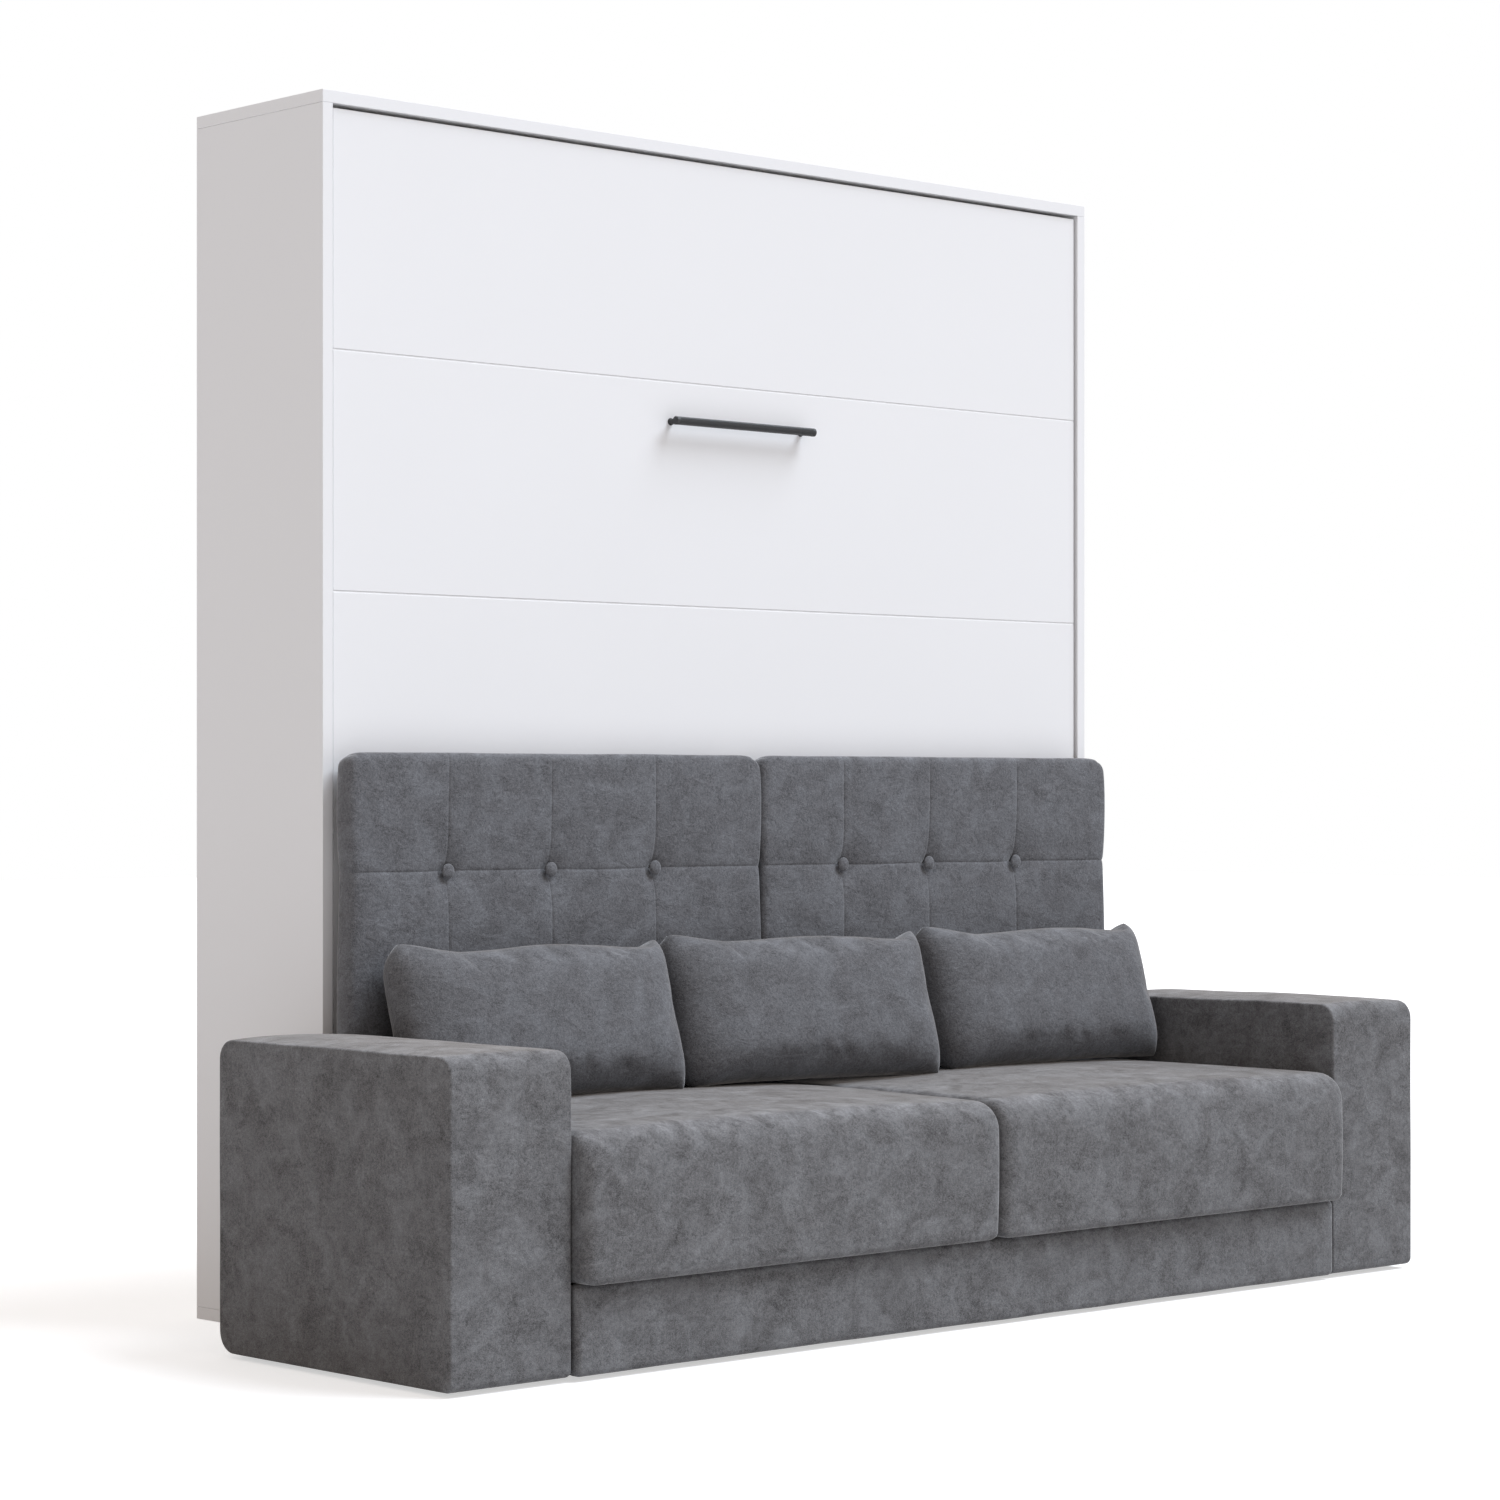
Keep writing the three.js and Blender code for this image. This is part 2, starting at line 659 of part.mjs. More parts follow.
// Upholstered arms: two flat side panels with a band round them, and a soft crown
function buildArms() {
  const size = new THREE.Vector3(armWidth, armDepth, armHeight - runnerHeight);
  const shape = {
    size,
    corners: {
      frontTop: armCorner, rearTop: armCorner, rearFoot: armCorner, frontFoot: armFootCorner,
    },
    sideEdge: armSideEdge,
    inner: { x: 2, y: 3, z: 1 },
    crown: armCrown,
    bulge: 0,
  };
  for (const { side, word } of sides) {
    const geometry = profiledBlock(shape);
    const middleX = side * (armInner + size.x / 2);
    geometry.translate(middleX, armFront + size.y / 2, runnerHeight + size.z / 2);
    place(`arm_${word}`, geometry, fabric);
    const runnerX = sided(side, armInner + runnerInset, armOuter - runnerInset);
    const runnerY = [armFront + runnerInset, armFront + armDepth - runnerInset];
    block(`arm_runner_${word}`, runnerX, runnerY, [0, runnerHeight - seatGap], blackPlastic);
  }
}

function buildSofaBase() {
  const frontBackFace = baseFront + baseFrontThickness;
  const width = 2 * (baseHalf - baseFrontEndGap);
  const size = new THREE.Vector3(width, baseFrontThickness, baseHeight - runnerHeight);
  const geometry = roundedBlock(size, baseFrontEdge, { x: 1, y: 0, z: 0 });
  geometry.translate(0, baseFront + size.y / 2, runnerHeight + size.z / 2);
  place("base_front", geometry, fabric);
  const depth = [frontBackFace + seatGap, baseRear];
  const height = [0, railsTop - seatGap];
  const inside = baseHalf - baseRailThickness - seatGap;
  // Boards that stand on the floor start behind a low toe space, out of sight
  const stand = (name, x, y, material) => {
    const toeX = [x[0] - cutOverrun, x[1] + cutOverrun];
    const toeY = [y[0] - cutOverrun, y[0] + baseToeSetback];
    const toe = blockGeometry(toeX, toeY, [-cutOverrun, runnerHeight]);
    place(name, cut(blockGeometry(x, y, height), [toe]), material);
  };
  for (const { side, word } of sides) {
    stand(`base_side_${word}`, sided(side, baseHalf - baseRailThickness, baseHalf), depth, darkFabric);
  }
  const rear = [baseRear - baseRailThickness, baseRear];
  block("base_rear", [-inside, inside], rear, height, bareWood);
  const middle = [depth[0], rear[0] - seatGap];
  const halfRail = baseRailThickness / 2;
  stand("base_middle", [-halfRail, halfRail], middle, bareWood);
  block("base_deck", [-baseHalf, baseHalf], depth, [railsTop, baseHeight], darkFabric);
}

// The stretch that a cushion of a pair takes along X
function pairLimits(side) {
  return sided(side, cushionGap / 2, cushionHalf);
}

function buildSeatCushions() {
  const width = cushionHalf - cushionGap / 2;
  const depth = seatRear - seatFront - seatBulge;
  const shape = {
    size: new THREE.Vector3(width, depth, seatHeight),
    corners: {
      frontTop: seatFrontCorner,
      rearTop: seatRearCorner,
      rearFoot: seatFootCorner,
      frontFoot: seatFootCorner,
    },
    sideEdge: seatSideEdge,
    inner: { x: 5, y: 3, z: 1 },
    crown: seatCrown,
    bulge: seatBulge,
  };
  for (const { side, word } of sides) {
    const geometry = profiledBlock(shape);
    const x = pairLimits(side);
    geometry.translate((x[0] + x[1]) / 2, seatRear - depth / 2, cushionBottom + seatHeight / 2);
    place(`seat_cushion_${word}`, geometry, fabric);
  }
}

// Tall back cushions, quilted by upright seams, one level seam and buttons at the crossings
function buildBackCushions() {
  const width = cushionHalf - cushionGap / 2;
  const height = backTop - cushionBottom;
  const half = new THREE.Vector3(width / 2, backThickness / 2, height / 2);
  const middleZ = cushionBottom + half.z;
  const seamZ = backSeamHeight - middleZ;
  const seams = backSeamShares.map((share) => -half.x + width * share);
  const flat = buttonDiameter / 2 + buttonMargin;
  const lines = [
    quiltLines(half.x, seams, flat, 2),
    edgedLines(half.y, backEdge, 0),
    quiltLines(half.z, [seamZ], flat, 3),
  ];
  const move = (point) => {
    const moved = roundedSlab(point, half, backCorner, backEdge);
    if (point.y > -half.y) return moved;
    const xFall = seamFall(point.x, [-half.x, ...seams, half.x]);
    const zFall = seamFall(point.z, [-half.z, seamZ, half.z]);
    const atSeamX = Math.min(...seams.map((seam) => Math.abs(point.x - seam)));
    const atButton = atSeamX <= flat && Math.abs(point.z - seamZ) <= flat;
    moved.y -= atButton ? -backDimple : backCrown * xFall * zFall;
    return moved;
  };
  for (const { side, word } of sides) {
    const x = pairLimits(side);
    const middleX = (x[0] + x[1]) / 2;
    const geometry = gridBlock(...lines, move);
    geometry.translate(middleX, backFront + half.y, middleZ);
    place(`back_cushion_${word}`, geometry, fabric);
    seams.forEach((seam, index) => {
      const button = buttonGeometry();
      button.translate(middleX + seam, backFront + backDimple - seatGap, backSeamHeight);
      place(`button_${word}_${index + 1}`, button, fabric);
    });
  }
}

// How far the quilt has risen from its nearest seam, from nothing to full
function seamFall(value, seams) {
  const away = Math.min(...seams.map((seam) => Math.abs(value - seam)));
  return Math.sin((Math.min(away / backCrownReach, 1) * Math.PI) / 2);
}

// Grid lines with a flat strip at each seam and even lines between the strips
function quiltLines(half, seams, flat, inner) {
  const low = edgeShares.map((share) => -half + backCorner * share);
  const high = edgeShares.map((share) => half - backCorner * share).reverse();
  const strips = seams.map((seam) => [seam - flat, seam, seam + flat]);
  const stops = [low, ...strips, high];
  const lines = [...low];
  for (let index = 1; index < stops.length; index += 1) {
    const from = stops[index - 1].at(-1);
    const to = stops[index][0];
    for (let step = 1; step <= inner; step += 1) {
      lines.push(THREE.MathUtils.lerp(from, to, step / (inner + 1)));
    }
    lines.push(...stops[index]);
  }
  return lines;
}

// A low covered button: a flat back and a domed face towards the room
function buttonGeometry() {
  const radius = buttonDiameter / 2;
  const rimShare = 0.35;
  const profile = [
    new THREE.Vector2(0, 0),
    new THREE.Vector2(radius, 0),
    new THREE.Vector2(radius, buttonThickness * rimShare),
    new THREE.Vector2(radius * Math.SQRT1_2, buttonThickness * (1 - rimShare / 2)),
    new THREE.Vector2(0, buttonThickness),
  ];
  return new THREE.LatheGeometry(profile, smallRoundSteps).rotateX(Math.PI);
}

// A lumbar pillow: full in the middle, thin at its seam, with drawn-in edges
const pillowEndShare = 0.2;
const pillowRimShare = 0.25;
const pillowSectionShares = [-1, -0.5, 0.5, 1];

function pillowGeometry() {
  const half = new THREE.Vector3(pillowWidth / 2, pillowThickness / 2, pillowHeight / 2);
  const lines = [
    edgedLines(half.x, half.x * pillowEndShare, 4),
    pillowSectionShares.map((share) => half.y * share),
    edgedLines(half.z, half.z * pillowRimShare, 2),
  ];
  return gridBlock(...lines, (point) => {
    const u = point.x / half.x;
    const w = point.z / half.z;
    const fullness = Math.sqrt(Math.max((1 - u ** 8) * (1 - w ** 2), 0));
    const thickness = pillowSeam + (pillowThickness - pillowSeam) * fullness;
    const dip = w > 0 ? pillowTopDip : 0;
    const x = point.x - u * pillowSideDip * (1 - w ** 2);
    const z = point.z - w * dip * (1 - u ** 4);
    return new THREE.Vector3(x, (point.y / pillowThickness) * thickness, z);
  });
}

// Each pillow stands on the seat and leans back on the tall cushions
function buildPillows() {
  const halfHeight = pillowHeight / 2;
  const geometry = pillowGeometry().rotateX(-pillowLean);
  geometry.computeBoundingBox();
  const back = geometry.boundingBox.max.y;
  const y = backFront - backCrown - pillowGap - back;
  const seatTop = cushionBottom + seatHeight + seatCrown;
  const z = seatTop + halfHeight * Math.cos(pillowLean) - pillowSink;
  pillowWords.forEach((word, index) => {
    const x = (index - (pillowWords.length - 1) / 2) * pillowPitch;
    place(`pillow_${word}`, geometry.clone().translate(x, y, z), fabric);
  });
}

buildCabinet();
buildWallBrackets();
buildFrontBoards();
buildHandle();
buildBedRails();
buildSlats();
buildMattress();
buildHingePlates();
buildStruts();
buildFeet();
buildArms();
buildSofaBase();
buildSeatCushions();
buildBackCushions();
buildPillows();

export default wallBed;
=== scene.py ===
# %% [markdown]
# # Wall bed with sofa
# An upright bed is hidden in a white cabinet, and a grey velour sofa stands in front of it.
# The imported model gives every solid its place. This script dresses those solids: it keeps the
# ones whose shape is right and gives them a finish, and it models the boards, the handle and
# everything soft again in finer detail.

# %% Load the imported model
import math

import bmesh
import bpy
from mathutils import Matrix, Vector, noise


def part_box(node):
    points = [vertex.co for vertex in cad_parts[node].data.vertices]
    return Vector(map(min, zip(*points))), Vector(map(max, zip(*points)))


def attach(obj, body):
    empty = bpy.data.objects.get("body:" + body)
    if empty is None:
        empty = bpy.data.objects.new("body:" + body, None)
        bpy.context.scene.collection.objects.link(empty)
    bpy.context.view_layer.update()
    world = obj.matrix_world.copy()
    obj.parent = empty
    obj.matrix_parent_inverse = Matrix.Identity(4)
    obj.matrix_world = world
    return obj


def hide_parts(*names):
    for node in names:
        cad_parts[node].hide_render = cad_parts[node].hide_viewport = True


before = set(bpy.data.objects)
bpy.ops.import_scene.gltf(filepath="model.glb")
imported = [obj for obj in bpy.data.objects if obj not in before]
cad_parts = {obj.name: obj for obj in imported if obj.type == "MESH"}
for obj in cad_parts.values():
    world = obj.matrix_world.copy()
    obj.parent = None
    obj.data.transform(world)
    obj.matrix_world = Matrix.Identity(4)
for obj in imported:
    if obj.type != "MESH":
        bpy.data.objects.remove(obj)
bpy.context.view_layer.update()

# %% [markdown]
# ## The camera
# The picture was taken from the left at chest height, with upright lines kept upright. A level
# camera does that by itself, and a small lens shift puts the horizon where it belongs.

# %% Set up the camera
MM = 0.001
CAMERA_PLACE = (-4.955, -5.573, 0.954)
CAMERA_HEADING = math.radians(42.81)
CAMERA_LENS = 91.62
CAMERA_SHIFT = 0.02845

scene = bpy.context.scene
camera_data = bpy.data.cameras.new("camera")
camera_data.lens = CAMERA_LENS
camera_data.sensor_width = 36
camera_data.shift_y = CAMERA_SHIFT
camera = bpy.data.objects.new("camera", camera_data)
camera.location = CAMERA_PLACE
camera.rotation_euler = (math.pi / 2, 0, -CAMERA_HEADING)
scene.collection.objects.link(camera)
scene.camera = camera
scene.view_settings.view_transform = "Standard"
print("camera heading:", round(math.degrees(CAMERA_HEADING), 1), "degrees")

# %% [markdown]
# ## Small helpers for materials
# A material is a tree of nodes. One helper adds a node, sets its options and joins or fills its
# sockets. Two more wrap the nodes that are needed most, Math and Mix.

# %% Node helpers


def add_node(tree, kind, inputs=None, **options):
    made = tree.nodes.new("ShaderNode" + kind)
    for key, value in options.items():
        setattr(made, key, value)
    for socket, value in (inputs or {}).items():
        if isinstance(value, bpy.types.NodeSocket):
            tree.links.new(value, made.inputs[socket])
        else:
            made.inputs[socket].default_value = value
    return made


def maths(tree, operation, first, second=0.0):
    return add_node(tree, "Math", {0: first, 1: second}, operation=operation).outputs[0]


def mix_colours(tree, factor, first, second, blend_type="MIX"):
    made = add_node(tree, "Mix", {0: factor, 6: first, 7: second},
                    data_type="RGBA", blend_type=blend_type)
    return made.outputs[2]


def spread(tree, value, low, high, to_low, to_high):
    """A value between low and high, stretched to run from to_low to to_high."""
    made = add_node(tree, "MapRange", {0: value, 1: low, 2: high, 3: to_low, 4: to_high})
    return made.outputs[0]


def stretched(tree, scale):
    """Object coordinates, stretched by a scale on each axis."""
    place = add_node(tree, "TexCoord").outputs["Object"]
    return add_node(tree, "Mapping", {"Vector": place, "Scale": scale}).outputs[0]


def noise_value(tree, vector, scale, detail=3.0, roughness=0.5, distortion=0.0):
    made = add_node(tree, "TexNoise", {
        "Vector": vector, "Scale": scale, "Detail": detail,
        "Roughness": roughness, "Distortion": distortion,
    })
    return made.outputs[0]


def new_group(name, inputs, outputs):
    """A shader node group with named sockets, given as {name: (kind, default)}."""
    group = bpy.data.node_groups.new(name, "ShaderNodeTree")
    for socket_name, (kind, default) in inputs.items():
        socket = group.interface.new_socket(socket_name, in_out="INPUT", socket_type=kind)
        socket.default_value = default
    for socket_name, kind in outputs.items():
        group.interface.new_socket(socket_name, in_out="OUTPUT", socket_type=kind)
    return group, group.nodes.new("NodeGroupInput"), group.nodes.new("NodeGroupOutput")


def new_material(name):
    """An empty material with a Principled shader, and its node tree."""
    material = bpy.data.materials.new(name)
    material.use_nodes = True
    return material, material.node_tree, material.node_tree.nodes["Principled BSDF"]


def set_shader(tree, shader, values, links):
    for socket, value in values.items():
        shader.inputs[socket].default_value = value
    for socket, source in links.items():
        tree.links.new(source, shader.inputs[socket])


def bumped(tree, height, distance, strength=1.0):
    return add_node(tree, "Bump", {
        "Height": height, "Distance": distance, "Strength": strength,
    }).outputs[0]


FLOAT, COLOUR = "NodeSocketFloat", "NodeSocketColor"
print("material helpers ready")

# %% [markdown]
# ## Velour
# The sofa is covered in short-pile velour. Its pile lies in slightly different directions, which
# makes soft clouds two fingers wide, small streaks inside them and a fine grain. Where a surface
# faces up, its colour is painted lighter and its streaks stronger: a painted highlight for the
# light from above and the sheen that the pile catches there. Seen at a low angle the pile catches
# light, which the Sheen sockets of the shader give. One group makes the pattern for three velours,
# which differ in contrast, tint and painted top highlight: the tight covers of arms and seats, the
# smoother ones of the back cushions, and the slightly darker pillows.

# %% Pile pattern group
# Painted sheen: how much stronger clouds and streaks are painted where a surface faces up.
TOP_SHEEN_PAINT_CONTRAST = 2.0
pile_group, pile_in, pile_out = new_group(
    "velour_pile",
    {
        "Pile Colour": (COLOUR, (0.12, 0.12, 0.125, 1)),
        "Cool Colour": (COLOUR, (0.115, 0.123, 0.135, 1)),
        "Cloud Contrast": (FLOAT, 1.0),
        "Grain Contrast": (FLOAT, 1.0),
        "Painted Sheen": (FLOAT, 0.23),
    },
    {"Color": COLOUR, "Roughness": FLOAT, "Height": FLOAT},
)
pile_place = stretched(pile_group, (1, 1, 1))
clouds = noise_value(pile_group, pile_place, 15, 4, 0.6, 0.7)
streaks = noise_value(pile_group, stretched(pile_group, (0.65, 0.65, 1)), 45, 4, 0.6, 1.2)
flecks = noise_value(pile_group, pile_place, 190, 3, 0.65)
grain = noise_value(pile_group, pile_place, 620, 2, 0.6)
normal = add_node(pile_group, "NewGeometry").outputs["Normal"]
upward = add_node(pile_group, "SeparateXYZ", {"Vector": normal}).outputs["Z"]
# Painted highlight mask: 1 where a surface faces up, standing in for light from above and sheen.
faces_up_sheen_mask = spread(pile_group, upward, 0.5, 0.95, 0, 1)


def centred_part(value, weight):
    return maths(pile_group, "MULTIPLY", maths(pile_group, "SUBTRACT", value, 0.5), weight)


wide = maths(pile_group, "ADD", centred_part(clouds, 1.3), centred_part(streaks, 0.9))
wide = maths(pile_group, "MULTIPLY", wide, pile_in.outputs["Cloud Contrast"])
# Painted sheen: clouds and streaks are painted stronger on surfaces that face up.
wide = maths(pile_group, "MULTIPLY", wide, spread(pile_group, faces_up_sheen_mask, 0, 1, 1, TOP_SHEEN_PAINT_CONTRAST))
fine = maths(pile_group, "ADD", centred_part(flecks, 1.05), centred_part(grain, 1.9))
fine = maths(pile_group, "MULTIPLY", fine, pile_in.outputs["Grain Contrast"])
# Painted highlight: surfaces that face up are painted lighter by this amount.
lifted = maths(pile_group, "MULTIPLY", faces_up_sheen_mask, pile_in.outputs["Painted Sheen"])
lightness = maths(pile_group, "ADD", maths(pile_group, "ADD", wide, fine),
                  maths(pile_group, "ADD", lifted, 1.0))
lightness = maths(pile_group, "MAXIMUM", lightness, 0.35)
tinted = mix_colours(pile_group, spread(pile_group, clouds, 0.38, 0.62, 0, 1),
                     pile_in.outputs["Pile Colour"], pile_in.outputs["Cool Colour"])
pile_colour = mix_colours(pile_group, 1.0, tinted, lightness, "MULTIPLY")
pile_group.links.new(pile_colour, pile_out.inputs["Color"])
pile_rough = spread(pile_group, streaks, 0.3, 0.7, 0.82, 0.98)
pile_group.links.new(pile_rough, pile_out.inputs["Roughness"])
pile_height = maths(pile_group, "ADD", streaks, maths(pile_group, "MULTIPLY", flecks, 0.2))
pile_group.links.new(pile_height, pile_out.inputs["Height"])
print("velour:", len(pile_group.nodes), "nodes in its pattern")

# %% Three velours
PILE_COLOUR = (0.1468, 0.145, 0.1483)
COOL_COLOUR = (0.1448, 0.146, 0.1507)
NO_TINT = (1, 1, 1)
BACK_TINT = (0.98, 1, 1.04)
PILLOW_TINT = (0.955, 0.97, 1.0)


def make_velour(name, cloud_contrast, painted_sheen_amount, tint):
    """Velour whose pile colours are multiplied by a tint, with a painted highlight where it faces
    up.
    """
    material, tree, shader = new_material(name)
    pile = add_node(tree, "Group", {
        "Pile Colour": (*(part * share for part, share in zip(PILE_COLOUR, tint)), 1),
        "Cool Colour": (*(part * share for part, share in zip(COOL_COLOUR, tint)), 1),
        "Cloud Contrast": cloud_contrast, "Painted Sheen": painted_sheen_amount,
    }, node_tree=pile_group)
    set_shader(tree, shader, {
        "Sheen Weight": 0.8, "Sheen Roughness": 0.3, "Sheen Tint": (0.8, 0.8, 0.8, 1),
        "Specular IOR Level": 0.12,
    }, {
        "Base Color": pile.outputs["Color"],
        "Roughness": pile.outputs["Roughness"],
        "Normal": bumped(tree, pile.outputs["Height"], 3 * MM, 0.7),
    })
    return material


# The middle number is the painted top highlight: strong on arms and seats, faint on backs, none on
# pillows.
velour = make_velour("grey_velour", 1.0, 0.25, NO_TINT)
soft_velour = make_velour("grey_velour_upright", 0.75, 0.06, BACK_TINT)
pillow_velour = make_velour("grey_velour_pillow", 0.65, 0.0, PILLOW_TINT)
print("velours:", velour.name, soft_velour.name, pillow_velour.name)

# %% [markdown]
# ## Laminate
# The cabinet and the bed's front are chipboard with a white satin laminate. It is almost one
# colour; what gives it away is a very fine pearl in its gloss, so the group changes roughness
# and height and hardly the colour.

# %% Surface grain group
grain_group, grain_in, grain_out = new_group(
    "surface_grain",
    {
        "Base": (COLOUR, (0.8, 0.8, 0.8, 1)),
        "Fine Scale": (FLOAT, 900.0),
        "Colour Change": (FLOAT, 0.03),
        "Roughness": (FLOAT, 0.45),
        "Roughness Change": (FLOAT, 0.1),
    },
    {"Color": COLOUR, "Roughness": FLOAT, "Height": FLOAT},
)
grain_place = stretched(grain_group, (1, 1, 1))
grain_fine = noise_value(grain_group, grain_place, 900, 3, 0.6)
grain_group.links.new(grain_in.outputs["Fine Scale"], grain_fine.node.inputs["Scale"])
grain_wide = noise_value(grain_group, grain_place, 3.5, 3, 0.5)
both = maths(grain_group, "ADD", maths(grain_group, "MULTIPLY", grain_fine, 0.5),
             maths(grain_group, "MULTIPLY", grain_wide, 0.5))
centred = maths(grain_group, "SUBTRACT", both, 0.5)
shade = maths(grain_group, "ADD",
              maths(grain_group, "MULTIPLY", centred, grain_in.outputs["Colour Change"]), 1.0)
shaded = mix_colours(grain_group, 1.0, grain_in.outputs["Base"], shade, "MULTIPLY")
rough = maths(grain_group, "ADD", grain_in.outputs["Roughness"],
              maths(grain_group, "MULTIPLY", centred, grain_in.outputs["Roughness Change"]))
grain_group.links.new(shaded, grain_out.inputs["Color"])
grain_group.links.new(rough, grain_out.inputs["Roughness"])
grain_group.links.new(grain_fine, grain_out.inputs["Height"])


def make_grained(name, colour, roughness, scale, colour_change, roughness_change, depth,
                 **values):
    """A hard finish: laminate, metal, plastic or lining with its own grain."""
    material, tree, shader = new_material(name)
    surface = add_node(tree, "Group", node_tree=grain_group)
    for socket, value in (("Base", colour), ("Fine Scale", scale), ("Roughness", roughness),
                          ("Colour Change", colour_change),
                          ("Roughness Change", roughness_change)):
        surface.inputs[socket].default_value = value
    named = {key.replace("_", " "): value for key, value in values.items()}
    set_shader(tree, shader, named, {
        "Base Color": surface.outputs["Color"],
        "Roughness": surface.outputs["Roughness"],
        "Normal": bumped(tree, surface.outputs["Height"], depth, 0.5),
    })
    return material


laminate = make_grained("white_laminate", (0.85, 0.853, 0.862, 1), 0.42, 700, 0.03, 0.16,
                        0.12 * MM, Specular_IOR_Level=0.4)
lining = make_grained("dark_lining", (0.03, 0.03, 0.032, 1), 0.9, 520, 0.9, 0.1, 0.6 * MM,
                      Sheen_Weight=0.15)
webbing = make_grained("black_webbing", (0.022, 0.022, 0.024, 1), 0.75, 420, 0.8, 0.2, 0.7 * MM)
steel = make_grained("zinc_steel", (0.52, 0.53, 0.55, 1), 0.36, 240, 0.25, 0.3, 0.05 * MM,
                     Metallic=1.0)
polished_steel = make_grained("polished_steel", (0.66, 0.66, 0.67, 1), 0.14, 500, 0.05, 0.1,
                              0.01 * MM, Metallic=1.0)
black_metal = make_grained("black_powder_coat", (0.016, 0.016, 0.0175, 1), 0.44, 1500, 0.5, 0.3,
                           0.12 * MM, Specular_IOR_Level=0.5)
black_plastic = make_grained("black_plastic", (0.02, 0.02, 0.021, 1), 0.55, 1100, 0.4, 0.2,
                             0.1 * MM)
ticking = make_grained("mattress_ticking", (0.74, 0.73, 0.7, 1), 0.92, 820, 0.22, 0.08, 0.7 * MM,
                       Sheen_Weight=0.2)
print("hard finishes ready")

# %% [markdown]
# ## Bare wood
# Rails and slats are planed birch. Its grain is a set of growth rings stretched along the
# board: distorted noise, squeezed across and drawn out along. The rails run upright and the
# slats run level, so the stretch is an input of the material and not of the group.

# %% Wood materials
wood_group, wood_in, wood_out = new_group(
    "planed_birch",
    {"Vector": ("NodeSocketVector", (0, 0, 0)), "Light": (COLOUR, (0.62, 0.45, 0.27, 1)),
     "Dark": (COLOUR, (0.4, 0.25, 0.13, 1))},
    {"Color": COLOUR, "Roughness": FLOAT, "Height": FLOAT},
)
rings = noise_value(wood_group, wood_in.outputs["Vector"], 26, 4, 0.6, 1.4)
pores = noise_value(wood_group, wood_in.outputs["Vector"], 240, 2, 0.5)
bands = maths(wood_group, "PINGPONG", maths(wood_group, "MULTIPLY", rings, 6.0), 1.0)
grain_mix = maths(wood_group, "ADD", maths(wood_group, "MULTIPLY", bands, 0.5),
                  maths(wood_group, "MULTIPLY", pores, 0.4))
wood_colour = mix_colours(wood_group, grain_mix, wood_in.outputs["Light"], wood_in.outputs["Dark"])
wood_group.links.new(wood_colour, wood_out.inputs["Color"])
wood_group.links.new(spread(wood_group, bands, 0, 1, 0.52, 0.68), wood_out.inputs["Roughness"])
wood_group.links.new(pores, wood_out.inputs["Height"])


def make_wood(name, scale):
    material, tree, shader = new_material(name)
    wood = add_node(tree, "Group", {"Vector": stretched(tree, scale)}, node_tree=wood_group)
    set_shader(tree, shader, {"Specular IOR Level": 0.35}, {
        "Base Color": wood.outputs["Color"],
        "Roughness": wood.outputs["Roughness"],
        "Normal": bumped(tree, wood.outputs["Height"], 0.25 * MM, 0.5),
    })
    return material


wood_level = make_wood("birch_level", (0.06, 1, 1))
wood_upright = make_wood("birch_upright", (1, 1, 0.06))
wood_deep = make_wood("birch_front_to_back", (1, 0.06, 1))
print("woods:", wood_level.name, wood_upright.name)

# %% [markdown]
# ## Finishes for the solids that stay
# Rails, plates, legs and struts already have the right shape. They keep their mesh and only get
# a finish through their material slot.

# %% Dress the kept solids
KEPT = {
    wood_upright: ["side_rail_left", "side_rail_right", "centre_beam"],
    wood_level: ["head_rail", "foot_rail", "slat_grid", "base_rear"],
    wood_deep: ["base_middle"],
    webbing: ["mattress_strap_lower", "mattress_strap_upper"],
    steel: ["wall_bracket_left", "wall_bracket_right", "hinge_plate_left", "hinge_plate_right",
            "bed_plate_left", "bed_plate_right", "foot_shaft"],
    polished_steel: ["strut_rod_left", "strut_rod_right"],
    black_metal: ["strut_cylinder_left", "strut_cylinder_right", "foot_leg_left",
                  "foot_leg_right"],
    lining: ["base_side_left", "base_side_right", "base_deck"],
    black_plastic: ["arm_runner_left", "arm_runner_right"],
}
for finish, names in KEPT.items():
    for name in names:
        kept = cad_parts[name]
        for index in range(len(kept.material_slots)):
            kept.material_slots[index].material = finish
print("kept solids:", sum(len(names) for names in KEPT.values()))

# %% [markdown]
# ## From bmesh to piece
# New pieces are built in a bmesh, which is Blender's mesh while it is being edited. This helper
# turns it into an object at the origin, shades it, lets it ride on its body and hides the solids
# that it stands for.

# %% Piece helper


def finish_piece(name, bm, material, body, replaced=(), smooth=True, sharp=None):
    mesh = bpy.data.meshes.new(name)
    bmesh.ops.recalc_face_normals(bm, faces=bm.faces)
    bm.to_mesh(mesh)
    bm.free()
    mesh.materials.append(material)
    if smooth:
        mesh.shade_smooth()
    if sharp is not None:
        mesh.set_sharp_from_angle(angle=math.radians(sharp))
    piece = bpy.data.objects.new(name, mesh)
    scene.collection.objects.link(piece)
    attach(piece, body)
    if replaced:
        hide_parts(*replaced)
    return piece


def box_mesh(low, high):
    """A bmesh box between two corners."""
    bm = bmesh.new()
    bmesh.ops.create_cube(bm, size=1)
    bmesh.ops.scale(bm, vec=Vector(high) - Vector(low), verts=bm.verts)
    bmesh.ops.translate(bm, vec=(Vector(high) + Vector(low)) / 2, verts=bm.verts)
    return bm


